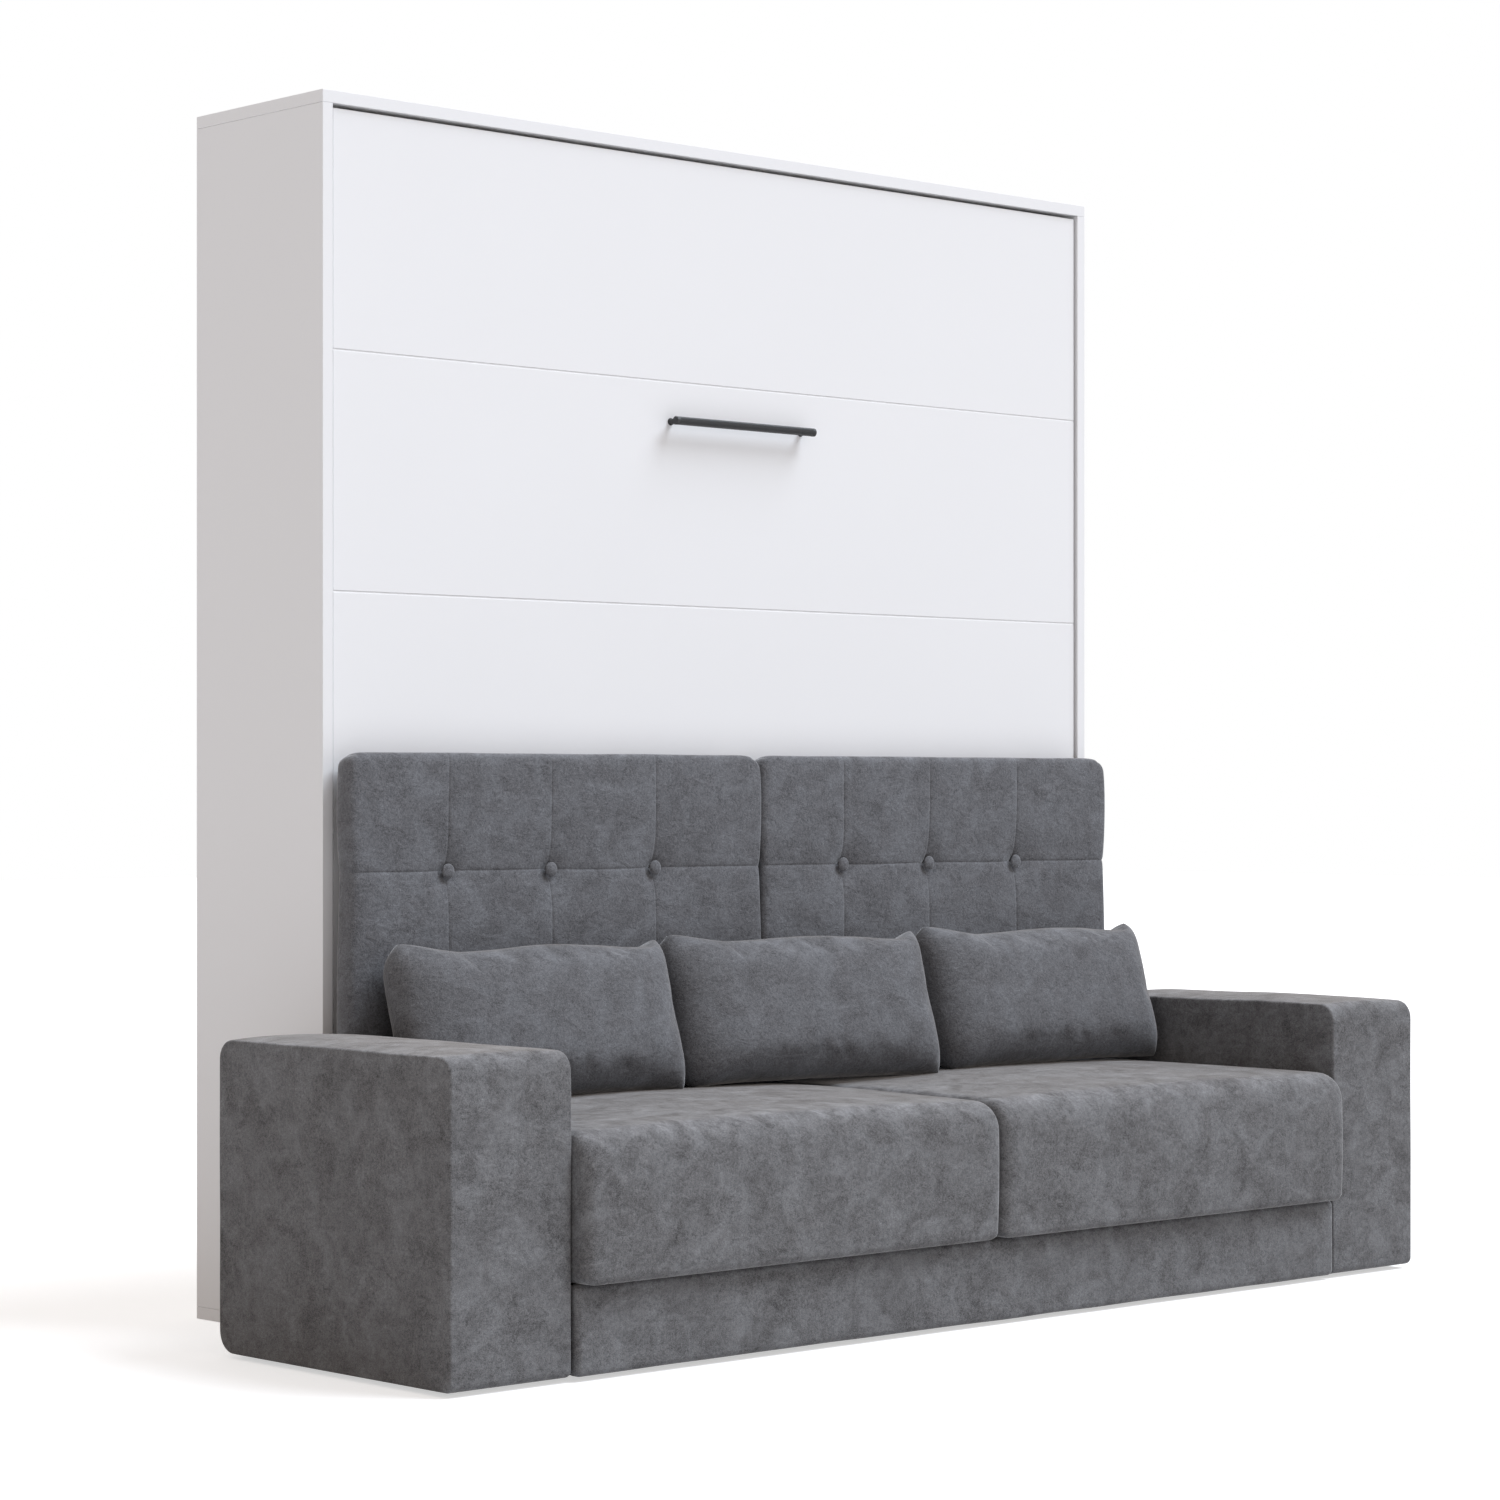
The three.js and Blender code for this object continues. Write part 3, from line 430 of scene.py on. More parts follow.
# %% [markdown]
# ## Boards
# A laminated board is a box, but its edge banding is trimmed with a tiny round of under a
# millimetre. That round catches a line of light along every edge, so each board is a box with
# bevelled edges. The front's boards also have a tongue that closes the joint to the board above,
# just behind the face, which is why those joints are pale lines and not dark slots. The tongue is
# the rear part of the board's top, cut off with a plane and extruded upwards.

# %% Cabinet and front boards
BOARD_EDGE = 0.8 * MM
TONGUE_SETBACK = 1.2 * MM
TONGUE_PLAY = 0.2 * MM
CABINET_BOARDS = ["cabinet_base", "cabinet_top", "cabinet_side_left", "cabinet_side_right",
                  "back_rail_upper", "back_rail_lower"]
FRONT_BOARDS = [f"front_board_{number}" for number in range(1, 6)]


def make_board(node, body, tongue=0):
    low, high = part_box(node)
    bm = box_mesh(low, high)
    edges = bm.edges[:]
    if tongue:
        bmesh.ops.bisect_plane(bm, geom=bm.verts[:] + bm.edges[:] + bm.faces[:], dist=1e-7,
                               plane_co=low + Vector((0, TONGUE_SETBACK, 0)), plane_no=(0, 1, 0))
        edges = [edge for edge in bm.edges if max(vert.co.y for vert in edge.verts) < low.y + MM]
        top = [face for face in bm.faces if min(vert.co.z for vert in face.verts) > high.z - MM
               and max(vert.co.y for vert in face.verts) > high.y - MM]
        raised = bmesh.ops.extrude_face_region(bm, geom=top)
        lifted = [item for item in raised["geom"] if isinstance(item, bmesh.types.BMVert)]
        bmesh.ops.translate(bm, vec=(0, 0, tongue), verts=lifted)
    bmesh.ops.bevel(bm, geom=edges, offset=BOARD_EDGE, segments=3, profile=0.5,
                    affect="EDGES", material=-1)
    return finish_piece(f"{node}_banded", bm, laminate, body, [node], smooth=False)


for node in CABINET_BOARDS:
    make_board(node, "cabinet_and_sofa")
for node, above in zip(FRONT_BOARDS, [None, *FRONT_BOARDS]):
    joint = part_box(above)[0].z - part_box(node)[1].z - TONGUE_PLAY if above else 0
    make_board(node, "bed", joint)
print("boards:", len(CABINET_BOARDS) + len(FRONT_BOARDS), "joint filled:", round(joint / MM, 1))

# %% [markdown]
# ## Handle
# The handle is a turned bar on two posts. Its grip is knurled: two crossing sets of grooves
# leave small pyramids. Spinning a profile round the bar's axis gives a grid of points, and
# raising every second point of that grid, like the dark squares of a chessboard, leaves the
# same pyramids.

# %% Handle bar
KNURL_PITCH = 1.7 * MM
KNURL_DEPTH = 0.55 * MM
KNURL_SIDES = 32
CAP_LENGTH = 7 * MM
CHAMFER = 1 * MM
bar_low, bar_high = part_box("handle_bar")
bar_radius = (bar_high.z - bar_low.z) / 2
bar_centre = (bar_low + bar_high) / 2


def spun(profile, axis, centre, steps):
    """Turns a profile of (distance along the axis, radius) points round the axis."""
    bm = bmesh.new()
    side = Vector((0, 0, 1))
    points = [bm.verts.new(centre + axis * along + side * radius) for along, radius in profile]
    edges = [bm.edges.new(pair) for pair in zip(points, points[1:])]
    bmesh.ops.spin(bm, geom=points + edges, cent=centre, axis=axis, dvec=(0, 0, 0),
                   angle=2 * math.pi, steps=steps, use_merge=True)
    bmesh.ops.remove_doubles(bm, verts=bm.verts, dist=1e-6)
    return bm


half_bar = (bar_high.x - bar_low.x) / 2
grip_half = half_bar - CAP_LENGTH
grip_count = int(2 * grip_half / KNURL_PITCH)
grip_root = bar_radius - KNURL_DEPTH
profile = [(-half_bar, 0), (-half_bar, bar_radius - CHAMFER), (-half_bar + CHAMFER, bar_radius),
           (-grip_half - CHAMFER / 2, bar_radius)]
profile += [(-grip_half + 2 * grip_half * step / grip_count, grip_root)
            for step in range(grip_count + 1)]
profile += [(grip_half + CHAMFER / 2, bar_radius), (half_bar - CHAMFER, bar_radius),
            (half_bar, bar_radius - CHAMFER), (half_bar, 0)]
bar = spun(profile, Vector((1, 0, 0)), bar_centre, KNURL_SIDES)
raised = 0
for vert in bar.verts:
    offset = vert.co - bar_centre
    around = Vector((0, offset.y, offset.z))
    if abs(offset.x) > grip_half - KNURL_PITCH / 2 or around.length < grip_root - CHAMFER / 2:
        continue
    step = round((offset.x + grip_half) / (2 * grip_half) * grip_count)
    turn = round(math.atan2(offset.z, offset.y) / (2 * math.pi) * KNURL_SIDES)
    if (step + turn) % 2 == 0:
        vert.co = bar_centre + Vector((offset.x, 0, 0)) + around.normalized() * bar_radius
        raised += 1
finish_piece("handle_grip", bar, black_metal, "bed", ["handle_bar"],
             smooth=False)
print("knurl points raised:", raised)

# %% Handle posts
COLLAR_RADIUS = 7 * MM
COLLAR_LENGTH = 2 * MM
for word in ("left", "right"):
    low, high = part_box(f"handle_post_{word}")
    centre = Vector(((low.x + high.x) / 2, 0, (low.z + high.z) / 2))
    radius = (high.x - low.x) / 2
    foot, head = high.y, bar_centre.y
    profile = [(head, 0), (head, radius), (foot - COLLAR_LENGTH - CHAMFER, radius),
               (foot - COLLAR_LENGTH, COLLAR_RADIUS - CHAMFER / 2),
               (foot - COLLAR_LENGTH / 2, COLLAR_RADIUS), (foot, COLLAR_RADIUS), (foot, 0)]
    post = spun(profile, Vector((0, 1, 0)), centre, 40)
    finish_piece(f"handle_post_{word}_turned", post, black_metal, "bed",
                 [f"handle_post_{word}"], sharp=35)
print("posts at", round(centre.x / MM), "mm from the middle")

# %% [markdown]
# ## Soft blocks
# Arms, base, seats and backs all start as a box. Cutting the box with planes gives it grid
# lines exactly where they are wanted: close together where an edge will be rounded or a seam
# will run, and further apart between. Then each point is moved onto the rounded form, and a
# Subdivision Surface modifier smooths the result.

# %% Cut boxes
ARC_SHARES = [math.tan(math.radians(angle)) for angle in (0, 11, 22, 33)]


def even_lines(stops, pitch):
    """The stops, and evenly spaced places between them."""
    lines = set(stops)
    for start, end in zip(stops, stops[1:]):
        count = max(1, round((end - start) / pitch))
        lines |= {start + (end - start) * step / count for step in range(1, count)}
    return sorted(lines)


def arc_lines(place, radii, direction):
    """Cuts that follow quarter rounds of the given radii, inwards from a side."""
    return [place + direction * radius * (1 - share) for radius in radii for share in ARC_SHARES]


def edge_lines(low, high, low_radii, high_radii, pitch, extra=()):
    """Places of the cuts along one axis: arcs at both ends, extra lines and even ones between."""
    stops = sorted({low + max(low_radii), high - max(high_radii), *extra})
    lines = {*arc_lines(low, low_radii, 1), *arc_lines(high, high_radii, -1)}
    lines |= set(even_lines(stops, pitch))
    return sorted(line for line in lines if low + 1e-5 < line < high - 1e-5)


def cut_box(low, high, lines):
    """A box cut by planes at the given places on each axis."""
    bm = box_mesh(low, high)
    for axis, places in enumerate(lines):
        normal = Vector([float(index == axis) for index in range(3)])
        for place in places:
            bmesh.ops.bisect_plane(bm, geom=bm.verts[:] + bm.edges[:] + bm.faces[:],
                                   dist=1e-7, plane_co=normal * place, plane_no=normal)
    return bm


def smooth_out(piece, levels):
    modifier = piece.modifiers.new("smooth", "SUBSURF")
    modifier.levels = levels
    modifier.render_levels = levels
    return piece


print("arc lines at shares", [round(share, 2) for share in ARC_SHARES])

# %% Rounding


def clamp(value, low, high):
    return min(max(value, low), high)


def rounded(point, low, high, low_radii, high_radii):
    """Moves a point of a box onto a rounded box, with a radius for each of its six sides."""
    inner = Vector([clamp(point[axis], low[axis] + low_radii[axis], high[axis] - high_radii[axis])
                    for axis in range(3)])
    out = point - inner
    radii = [low_radii[axis] if out[axis] < 0 else high_radii[axis] for axis in range(3)]
    share = Vector([out[axis] / radii[axis] for axis in range(3)])
    if share.length < 1e-9:
        return point.copy()
    share = share.normalized() * max(abs(part) for part in share)
    return inner + Vector([share[axis] * radii[axis] for axis in range(3)])


def dome(value, low, high, power=0.7):
    """1 in the middle of a stretch, 0 at its ends."""
    share = min(abs(2 * (value - low) / (high - low) - 1), 1)
    return max(math.cos(share * math.pi / 2), 0) ** power


NOISE_SEED = 7
noise.seed_set(NOISE_SEED)  # without a seed this module's noise differs from run to run


def stuffing(point, size, height, seed):
    """The slow unevenness of foam and wadding under a cover."""
    place = point / size + Vector((seed, 2.3 * seed, 4.7 * seed))
    return noise.noise_vector(place) * height


print("dome half way:", round(dome(0.25, 0, 1), 3))

# %% Drawn-in blocks
SPARE = 1.25


def end_lines(place, depth, direction):
    """Cuts that follow a quarter round which draws a block in towards one end."""
    return [place + direction * depth * (1 - math.sin(math.radians(turn)))
            for turn in (0, 22, 45, 67)]


def drawn_in(point, low, high, along, corners, ends):
    """Rounds a block's section, then draws it in towards both ends of one axis.

    The corners are four radii: low and high side at the foot, then the same at the top. Each
    end is given as (inset, depth).
    """
    across = 1 if along == 0 else 0
    at_high = point[along] > (low[along] + high[along]) / 2
    inset, depth = ends[at_high]
    away = high[along] - point[along] if at_high else point[along] - low[along]
    drawn = inset * (1 - math.sqrt(1 - clamp(1 - away / depth, 0, 1) ** 2))
    far = point[across] > (low[across] + high[across]) / 2
    upper = point.z > (low.z + high.z) / 2
    radius = max(corners[2 * upper + far], SPARE * drawn)
    inner = Vector((clamp(point[across], low[across] + radius, high[across] - radius),
                    clamp(point.z, low.z + radius, high.z - radius)))
    out = Vector((point[across], point.z)) - inner
    moved = point.copy()
    if out.length > 1e-9:
        out = out.normalized() * max(abs(out.x), abs(out.y)) * (1 - drawn / radius)
        moved[across] = inner.x + out.x
        moved.z = inner.y + out.y
    return moved


print("end lines:", [round(line, 2) for line in end_lines(0, 1, 1)])

# %% [markdown]
# ## Arms
# An arm is a padded box with two flat side panels and one long band that runs round between
# them. The band turns round corners about as large as a fist, but along both panels the cover is
# sewn over a hard edge, which stays almost sharp. The top is slightly crowned with foam.

# %% Make the arms
ARM_CORNERS = [radius * MM for radius in (14, 38, 33, 33)]
ARM_SIDE_EDGE = (4.5 * MM, 4.5 * MM)
ARM_CROWN = 9 * MM
ARM_PITCH = 22 * MM


def make_arm(word, seed):
    low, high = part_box(f"arm_{word}")
    top = Vector((high.x, high.y, high.z - ARM_CROWN))
    depth = ARM_SIDE_EDGE[1]
    across = {*even_lines([low.x + depth, low.x + 2 * depth, high.x - 2 * depth, high.x - depth],
                          ARM_PITCH),
              *end_lines(low.x, depth, 1), *end_lines(high.x, depth, -1)}
    foot, rear_foot, front_top, rear_top = ARM_CORNERS
    bm = cut_box(low, top, [
        sorted(across),
        edge_lines(low.y, high.y, (foot, front_top), (rear_foot, rear_top), ARM_PITCH),
        edge_lines(low.z, top.z, (foot, rear_foot), (front_top,), ARM_PITCH),
    ])
    for vert in bm.verts:
        moved = drawn_in(vert.co, low, top, 0, ARM_CORNERS, (ARM_SIDE_EDGE, ARM_SIDE_EDGE))
        height = (moved.z - low.z) / (top.z - low.z)
        crown = dome(moved.x, low.x, high.x) * dome(moved.y, low.y, high.y, 0.4)
        moved.z += ARM_CROWN * crown * height ** 8
        vert.co = moved + stuffing(moved, 180 * MM, 2.2 * MM, seed) * min(1, 3 * height)
    arm = finish_piece(f"arm_{word}_padded", bm, velour, "cabinet_and_sofa",
                       [f"arm_{word}"])
    smooth_out(arm, 1)
    return arm


for seed, word in enumerate(("left", "right")):
    made_arm = make_arm(word, 3.1 + seed)
    print(made_arm.name, "faces:", len(made_arm.data.polygons))

# %% [markdown]
# ## Base front
# The board under the seat is padded thinly and covered with the same velour. It's a long box
# with edges of about a finger's radius.

# %% Make the base front
BASE_EDGE = 12 * MM
BASE_PITCH = 22 * MM
low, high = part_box("base_front")
base = cut_box(low, high, [
    edge_lines(low[axis], high[axis], (BASE_EDGE,), (BASE_EDGE,), BASE_PITCH) for axis in range(3)
])
edge_radii = Vector((BASE_EDGE, BASE_EDGE, BASE_EDGE))
for vert in base.verts:
    moved = rounded(vert.co, low, high, edge_radii, edge_radii)
    vert.co = moved + stuffing(moved, 150 * MM, 1.6 * MM, 7.7)
base_piece = finish_piece("base_front_padded", base, velour, "cabinet_and_sofa",
                          ["base_front"])
smooth_out(base_piece, 1)
print("base front:", len(base_piece.data.polygons), "faces")

# %% [markdown]
# ## Filling a cover
# A cushion gets its form from the pressure of its filling against its cover. Blender's Cloth
# modifier with Pressure does that. The mesh starts as a stuffed form that knows its flat pattern,
# the simulation runs for a few frames without gravity, and the result is read back. A cap keeps
# each point near its start, so that a pillow stays close to the space that it has.

# %% Cloth helper


def filled(name, bm, pattern, pressure, frames, stiffness, cap):
    """Lets a stuffed cover settle. The pattern holds its points as cut, flat, before sewing.

    No point moves further than the cap.
    """
    mesh = bpy.data.meshes.new(name)
    bm.verts.ensure_lookup_table()
    starts = [vert.co.copy() for vert in bm.verts]
    bm.to_mesh(mesh)
    bm.free()
    cover = bpy.data.objects.new(name, mesh)
    scene.collection.objects.link(cover)
    cover.shape_key_add(name="stuffed")
    flat = cover.shape_key_add(name="flat pattern")
    for point, place in zip(flat.data, pattern):
        point.co = place
    cloth = cover.modifiers.new("cloth", "CLOTH")
    cloth.settings.rest_shape_key = flat
    cloth.point_cache.frame_start = 1
    cloth.point_cache.frame_end = frames
    values = cloth.settings
    values.quality = 5
    values.mass = 0.15
    values.air_damping = 1
    values.tension_stiffness = stiffness
    values.compression_stiffness = stiffness
    values.shear_stiffness = stiffness / 3
    values.bending_stiffness = 0.1
    values.tension_damping = 5
    values.compression_damping = 5
    values.shear_damping = 5
    values.bending_damping = 0.5
    values.use_pressure = True
    values.uniform_pressure_force = pressure
    values.effector_weights.gravity = 0
    cloth.collision_settings.use_collision = False
    for number in range(1, frames + 1):
        scene.frame_set(number)
    result = bmesh.new()
    result.from_object(cover, bpy.context.evaluated_depsgraph_get())
    result.verts.ensure_lookup_table()
    for start, vert in zip(starts, result.verts):
        way = vert.co - start
        if way.length > cap:
            vert.co = start + way.normalized() * cap
    bpy.data.objects.remove(cover)
    scene.frame_set(1)
    return result


print("cloth helper ready")

# %% [markdown]
# ## Seat cushions
# Each seat is one thick block of foam in a velour cover. Like the arms it has a band between two
# side panels, but its corners are all soft foam: wide round at the top of the front, smaller at
# the sides, and almost sharp at the foot, where the foam presses down on the base.

# %% Make the seat cushions
SEAT_CORNERS = [radius * MM for radius in (14, 14, 50, 34)]
SEAT_SIDE_EDGE = (23 * MM, 23 * MM)
SEAT_CROWN = 17 * MM
SEAT_BULGE = 7 * MM
SEAT_PITCH = 20 * MM


def make_seat(word, seed):
    low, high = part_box(f"seat_cushion_{word}")
    low = low + Vector((0, SEAT_BULGE, 0))
    top = high - Vector((0, 0, SEAT_CROWN))
    depth = SEAT_SIDE_EDGE[1]
    across = {*even_lines([low.x + depth, high.x - depth], SEAT_PITCH),
              *end_lines(low.x, depth, 1), *end_lines(high.x, depth, -1)}
    foot, rear_foot, front_top, rear_top = SEAT_CORNERS
    bm = cut_box(low, top, [
        sorted(across),
        edge_lines(low.y, top.y, (foot, front_top), (rear_foot, rear_top), SEAT_PITCH),
        edge_lines(low.z, top.z, (foot, SPARE * depth), (rear_top, front_top), SEAT_PITCH),
    ])
    for vert in bm.verts:
        moved = drawn_in(vert.co, low, top, 0, SEAT_CORNERS, (SEAT_SIDE_EDGE, SEAT_SIDE_EDGE))
        across = dome(moved.x, low.x, high.x, 0.5)
        rise = (moved.z - low.z) / (top.z - low.z)
        front = (top.y - moved.y) / (top.y - low.y)
        moved.z += SEAT_CROWN * across * dome(moved.y, low.y, high.y, 0.5) * rise ** 6
        moved.y -= SEAT_BULGE * across * math.sin(math.pi * clamp(rise, 0, 1)) * front ** 6
        vert.co = moved + stuffing(moved, 200 * MM, 3 * MM, seed) * min(1, 4 * rise)
    seat = finish_piece(f"seat_cushion_{word}_stuffed", bm, velour, f"seat_{word}",
                        [f"seat_cushion_{word}"])
    smooth_out(seat, 1)
    return seat


for seed, word in enumerate(("left", "right")):
    made_seat = make_seat(word, 11.3 + 2 * seed)
    print(made_seat.name, "faces:", len(made_seat.data.polygons))

# %% [markdown]
# ## Back cushions
# A back cushion is a tall, flat block, sewn into eight panels by three upright seams and one
# level seam. Where they cross, a button is pulled in. A seam is a narrow groove between two soft
# shoulders, each panel is almost flat, and round each button the cover falls in a curve that is
# steep at the button and flattens out two fingers away. The level seam also pinches the ends.
# Above the seat the cushion swells forward a little, and behind the seat it's pressed in again.

# %% Seams of the back cushions
BACK_CORNERS = [radius * MM for radius in (30, 30, 26, 34)]
BACK_PITCH = 20 * MM
BACK_DEEP_PITCH = 15 * MM
BACK_PROUD = 10 * MM
PRESSED_RISE = 60 * MM
BACK_FRONT_EDGE = (14 * MM, 13 * MM)
BACK_REAR_EDGE = (28 * MM, 44 * MM)
BACK_CROWN = 7 * MM
BACK_SIDE_BULGE = 3.5 * MM
BACK_SIDE_POWER = 12
SEAM_SHARES = (0.22, 0.464, 0.722)
SEAM_BELOW_TOP = 210 * MM
SEAM_STEPS = [step * MM for step in (1.2, 3, 6, 10.5, 17, 26, 38)]
GROOVE_DEPTH = 0.9 * MM
GROOVE_WIDTH = 1.6 * MM
SHOULDER_DEPTH = 1.6 * MM
SHOULDER_WIDTH = 8 * MM
PANEL_RISE = 2.5 * MM
DIMPLE_DEPTH = 22 * MM
DIMPLE_SCALE = 25 * MM


def seam_lines(places):
    steps = [0] + SEAM_STEPS + [-step for step in SEAM_STEPS]
    return [place + step for place in places for step in steps]


def groove(distance):
    """How deep the cover lies at a distance from a seam, between its two shoulders."""
    narrow = GROOVE_DEPTH * math.exp(-(distance / GROOVE_WIDTH) ** 2)
    return narrow + SHOULDER_DEPTH * math.exp(-distance / SHOULDER_WIDTH)


print("groove depth on a seam:", round(groove(0) / MM, 1), "mm")

# %% Make the back cushions


def panel_rise(value, places):
    """How far the filling lifts a panel between two neighbouring seams."""
    low, high = [(a, b) for a, b in zip(places, places[1:]) if a - 1e-6 <= value <= b + 1e-6][0]
    return dome(value, low, high, 0.6)


def make_back(word, seed):
    low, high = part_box(f"back_cushion_{word}")
    front_low = low + Vector((0, BACK_CROWN - PANEL_RISE - BACK_PROUD, 0))
    uprights = [low.x + (high.x - low.x) * share for share in SEAM_SHARES]
    level = high.z - SEAM_BELOW_TOP
    below, above = BACK_CORNERS[0], BACK_CORNERS[2]
    deep = even_lines([front_low.y + BACK_FRONT_EDGE[1], high.y - BACK_REAR_EDGE[1]],
                      BACK_DEEP_PITCH)
    deep = sorted({*deep, *end_lines(front_low.y, BACK_FRONT_EDGE[1], 1),
                   *end_lines(high.y, BACK_REAR_EDGE[1], -1)})
    bm = cut_box(front_low, high, [
        edge_lines(low.x, high.x, (above,), (above,), BACK_PITCH, seam_lines(uprights)), deep,
        edge_lines(low.z, high.z, (below,), (above,), BACK_PITCH, seam_lines([level])),
    ])
    seat_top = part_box(f"seat_cushion_{word}")[1].z
    side_low = Vector((low.x + BACK_SIDE_BULGE, front_low.y, low.z))
    side_high = Vector((high.x - BACK_SIDE_BULGE, high.y, high.z))
    for vert in bm.verts:
        start = vert.co.copy()
        moved = drawn_in(start, side_low, side_high, 1, BACK_CORNERS,
                         (BACK_FRONT_EDGE, BACK_REAR_EDGE))
        front = clamp((high.y - moved.y) / (high.y - front_low.y), 0, 1) ** 2
        rise = panel_rise(clamp(start.x, low.x, high.x), [low.x, *uprights, high.x])
        rise *= panel_rise(clamp(start.z, low.z, high.z), [low.z, level, high.z])
        to_upright = min(abs(start.x - place) for place in uprights)
        to_level = abs(start.z - level)
        sink = max(groove(to_upright), groove(to_level))
        sink += DIMPLE_DEPTH * math.exp(-math.hypot(to_upright, to_level) / DIMPLE_SCALE)
        pressed = BACK_PROUD * (1 - clamp((start.z - seat_top) / PRESSED_RISE, 0, 1))
        moved.y -= (PANEL_RISE * rise - sink - pressed) * front
        sideways = 2 * (start.x - low.x) / (high.x - low.x) - 1
        at_side = abs(sideways) ** BACK_SIDE_POWER
        bulge = panel_rise(clamp(start.z, low.z, high.z), [low.z, level, high.z])
        moved.x += BACK_SIDE_BULGE * (2 * bulge - 1) * math.copysign(at_side, sideways)
        swell = stuffing(moved, 160 * MM, 2 * MM, seed) * front
        swell.x *= 1 - at_side
        vert.co = moved + swell
    back = finish_piece(f"back_cushion_{word}_tufted", bm, soft_velour, f"back_{word}",
                        [f"back_cushion_{word}"])
    smooth_out(back, 1)
    return back


for seed, word in enumerate(("left", "right")):
    made_back = make_back(word, 21.7 + 3 * seed)
    print(made_back.name, "faces:", len(made_back.data.polygons))

# %% [markdown]
# ## Buttons
# A covered button is a low dome with a rolled rim, on a short shank that the tufting twine
# pulls in. Turning half a profile round its axis gives that shape in one operator.

# %% Make the buttons
for word in ("left", "right"):
    for number in (1, 2, 3):
        low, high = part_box(f"button_{word}_{number}")
        low.y -= BACK_PROUD
        high.y -= BACK_PROUD
        centre = Vector(((low.x + high.x) / 2, 0, (low.z + high.z) / 2))
        radius, thick = (high.x - low.x) / 2, high.y - low.y
        profile = [(low.y, 0)]
        profile += [(low.y + thick * (1 - math.cos(turn)) * 0.75, radius * math.sin(turn))
                    for turn in (0.25, 0.5, 0.8, 1.1, 1.35, 1.5708)]
        profile += [(high.y, radius * 0.86), (high.y + thick * 0.1, radius * 0.5),
                    (high.y + thick, radius * 0.3), (high.y + thick * 1.1, 0)]
        button = spun(profile, Vector((0, 1, 0)), centre, 32)
        piece = finish_piece(f"button_{word}_{number}_covered", button, soft_velour, f"back_{word}",
                             [f"button_{word}_{number}"])
        smooth_out(piece, 1)
print("button radius:", round(radius / MM, 1), "mm")

# %% [markdown]
# ## Lumbar pillows
# A lumbar pillow is two flat pieces of cloth, sewn together round the edge and stuffed. The mesh
# is a flat grid for each piece, moved onto the stuffed form: a flat face that rounds off towards
# the seams, a left end that bulges past its corners, and a top seam that dips between its ears.
# The cloth simulation knows the flat pattern too. There is more cloth at the seams than the form
# needs, and that draws the small puckers. All three pillows are cut from one pattern.

# %% Shape one pillow
PILLOW_SIZE = Vector((592, 142, 288)) * MM
PILLOW_BULGE = 34 * MM
PILLOW_PATTERN = Vector((650, 0, 322)) * MM
PILLOW_SEAM = 3 * MM
PILLOW_LEAN = math.radians(17)
PILLOW_WAIST = 6 * MM
SEAM_DROPS = [(-1, 0), (-0.55, 12), (0.13, 5), (0.8, 16), (1, 7)]
LENGTH_FULLNESS = 8
HEIGHT_FULLNESS = 4.5
CORNER_FULLNESS = 6
COVER_PRESSURE = 2.5
COVER_FRAMES = 16
COVER_STIFFNESS = 30
COVER_CAP = 7 * MM


def seam_drop(along):
    """How far the top seam hangs below its left ear, from -1 at the left to 1 at the right."""
    for (start, first), (end, last) in zip(SEAM_DROPS, SEAM_DROPS[1:]):
        if along <= end:
            share = clamp((along - start) / (end - start), 0, 1)
            return (first + (last - first) * share * share * (3 - 2 * share)) * MM
    return SEAM_DROPS[-1][1] * MM


def stuffed_place(flat, side):
    """The place of a point of the flat grid (-1 to 1 both ways) on the stuffed pillow."""
    along = (flat.x + math.sin(flat.x * math.pi / 2)) / 2
    up = math.sin(flat.z * math.pi / 2)
    lengthwise, upwards = 1 - abs(along) ** LENGTH_FULLNESS, 1 - abs(up) ** HEIGHT_FULLNESS
    full = math.sqrt(clamp(lengthwise * upwards, 0, 1))
    half = PILLOW_SIZE / 2
    x = along * (half.x - PILLOW_WAIST * (1 - up * up))
    x -= PILLOW_BULGE * (1 - abs(up) ** CORNER_FULLNESS) * clamp(-along, 0, 1) ** 4
    z = up * half.z - seam_drop(along) * max(up, 0) ** 2
    return Vector((x, side * (PILLOW_SEAM + (half.y - PILLOW_SEAM) * full), z))


def pillow_cover():
    """The stuffed cover as a mesh, and the same points on the flat pattern."""
    bm = bmesh.new()
    bmesh.ops.create_grid(bm, x_segments=96, y_segments=48, size=1)
    bmesh.ops.rotate(bm, cent=(0, 0, 0), matrix=Matrix.Rotation(math.pi / 2, 3, "X"),
                     verts=bm.verts)
    bmesh.ops.translate(bm, vec=(0, -1, 0), verts=bm.verts)
    walls = bmesh.ops.extrude_face_region(bm, geom=bm.faces[:])
    moved = [item for item in walls["geom"] if isinstance(item, bmesh.types.BMVert)]
    bmesh.ops.translate(bm, vec=(0, 2, 0), verts=moved)
    pattern = [Vector((vert.co.x * PILLOW_PATTERN.x / 2, vert.co.y * PILLOW_SEAM,
                       vert.co.z * PILLOW_PATTERN.z / 2)) for vert in bm.verts]
    for vert in bm.verts:
        place = stuffed_place(vert.co, vert.co.y)
        vert.co = place + stuffing(place, 45 * MM, 0.8 * MM, 31.3)
    bmesh.ops.recalc_face_normals(bm, faces=bm.faces)
    return bm, pattern


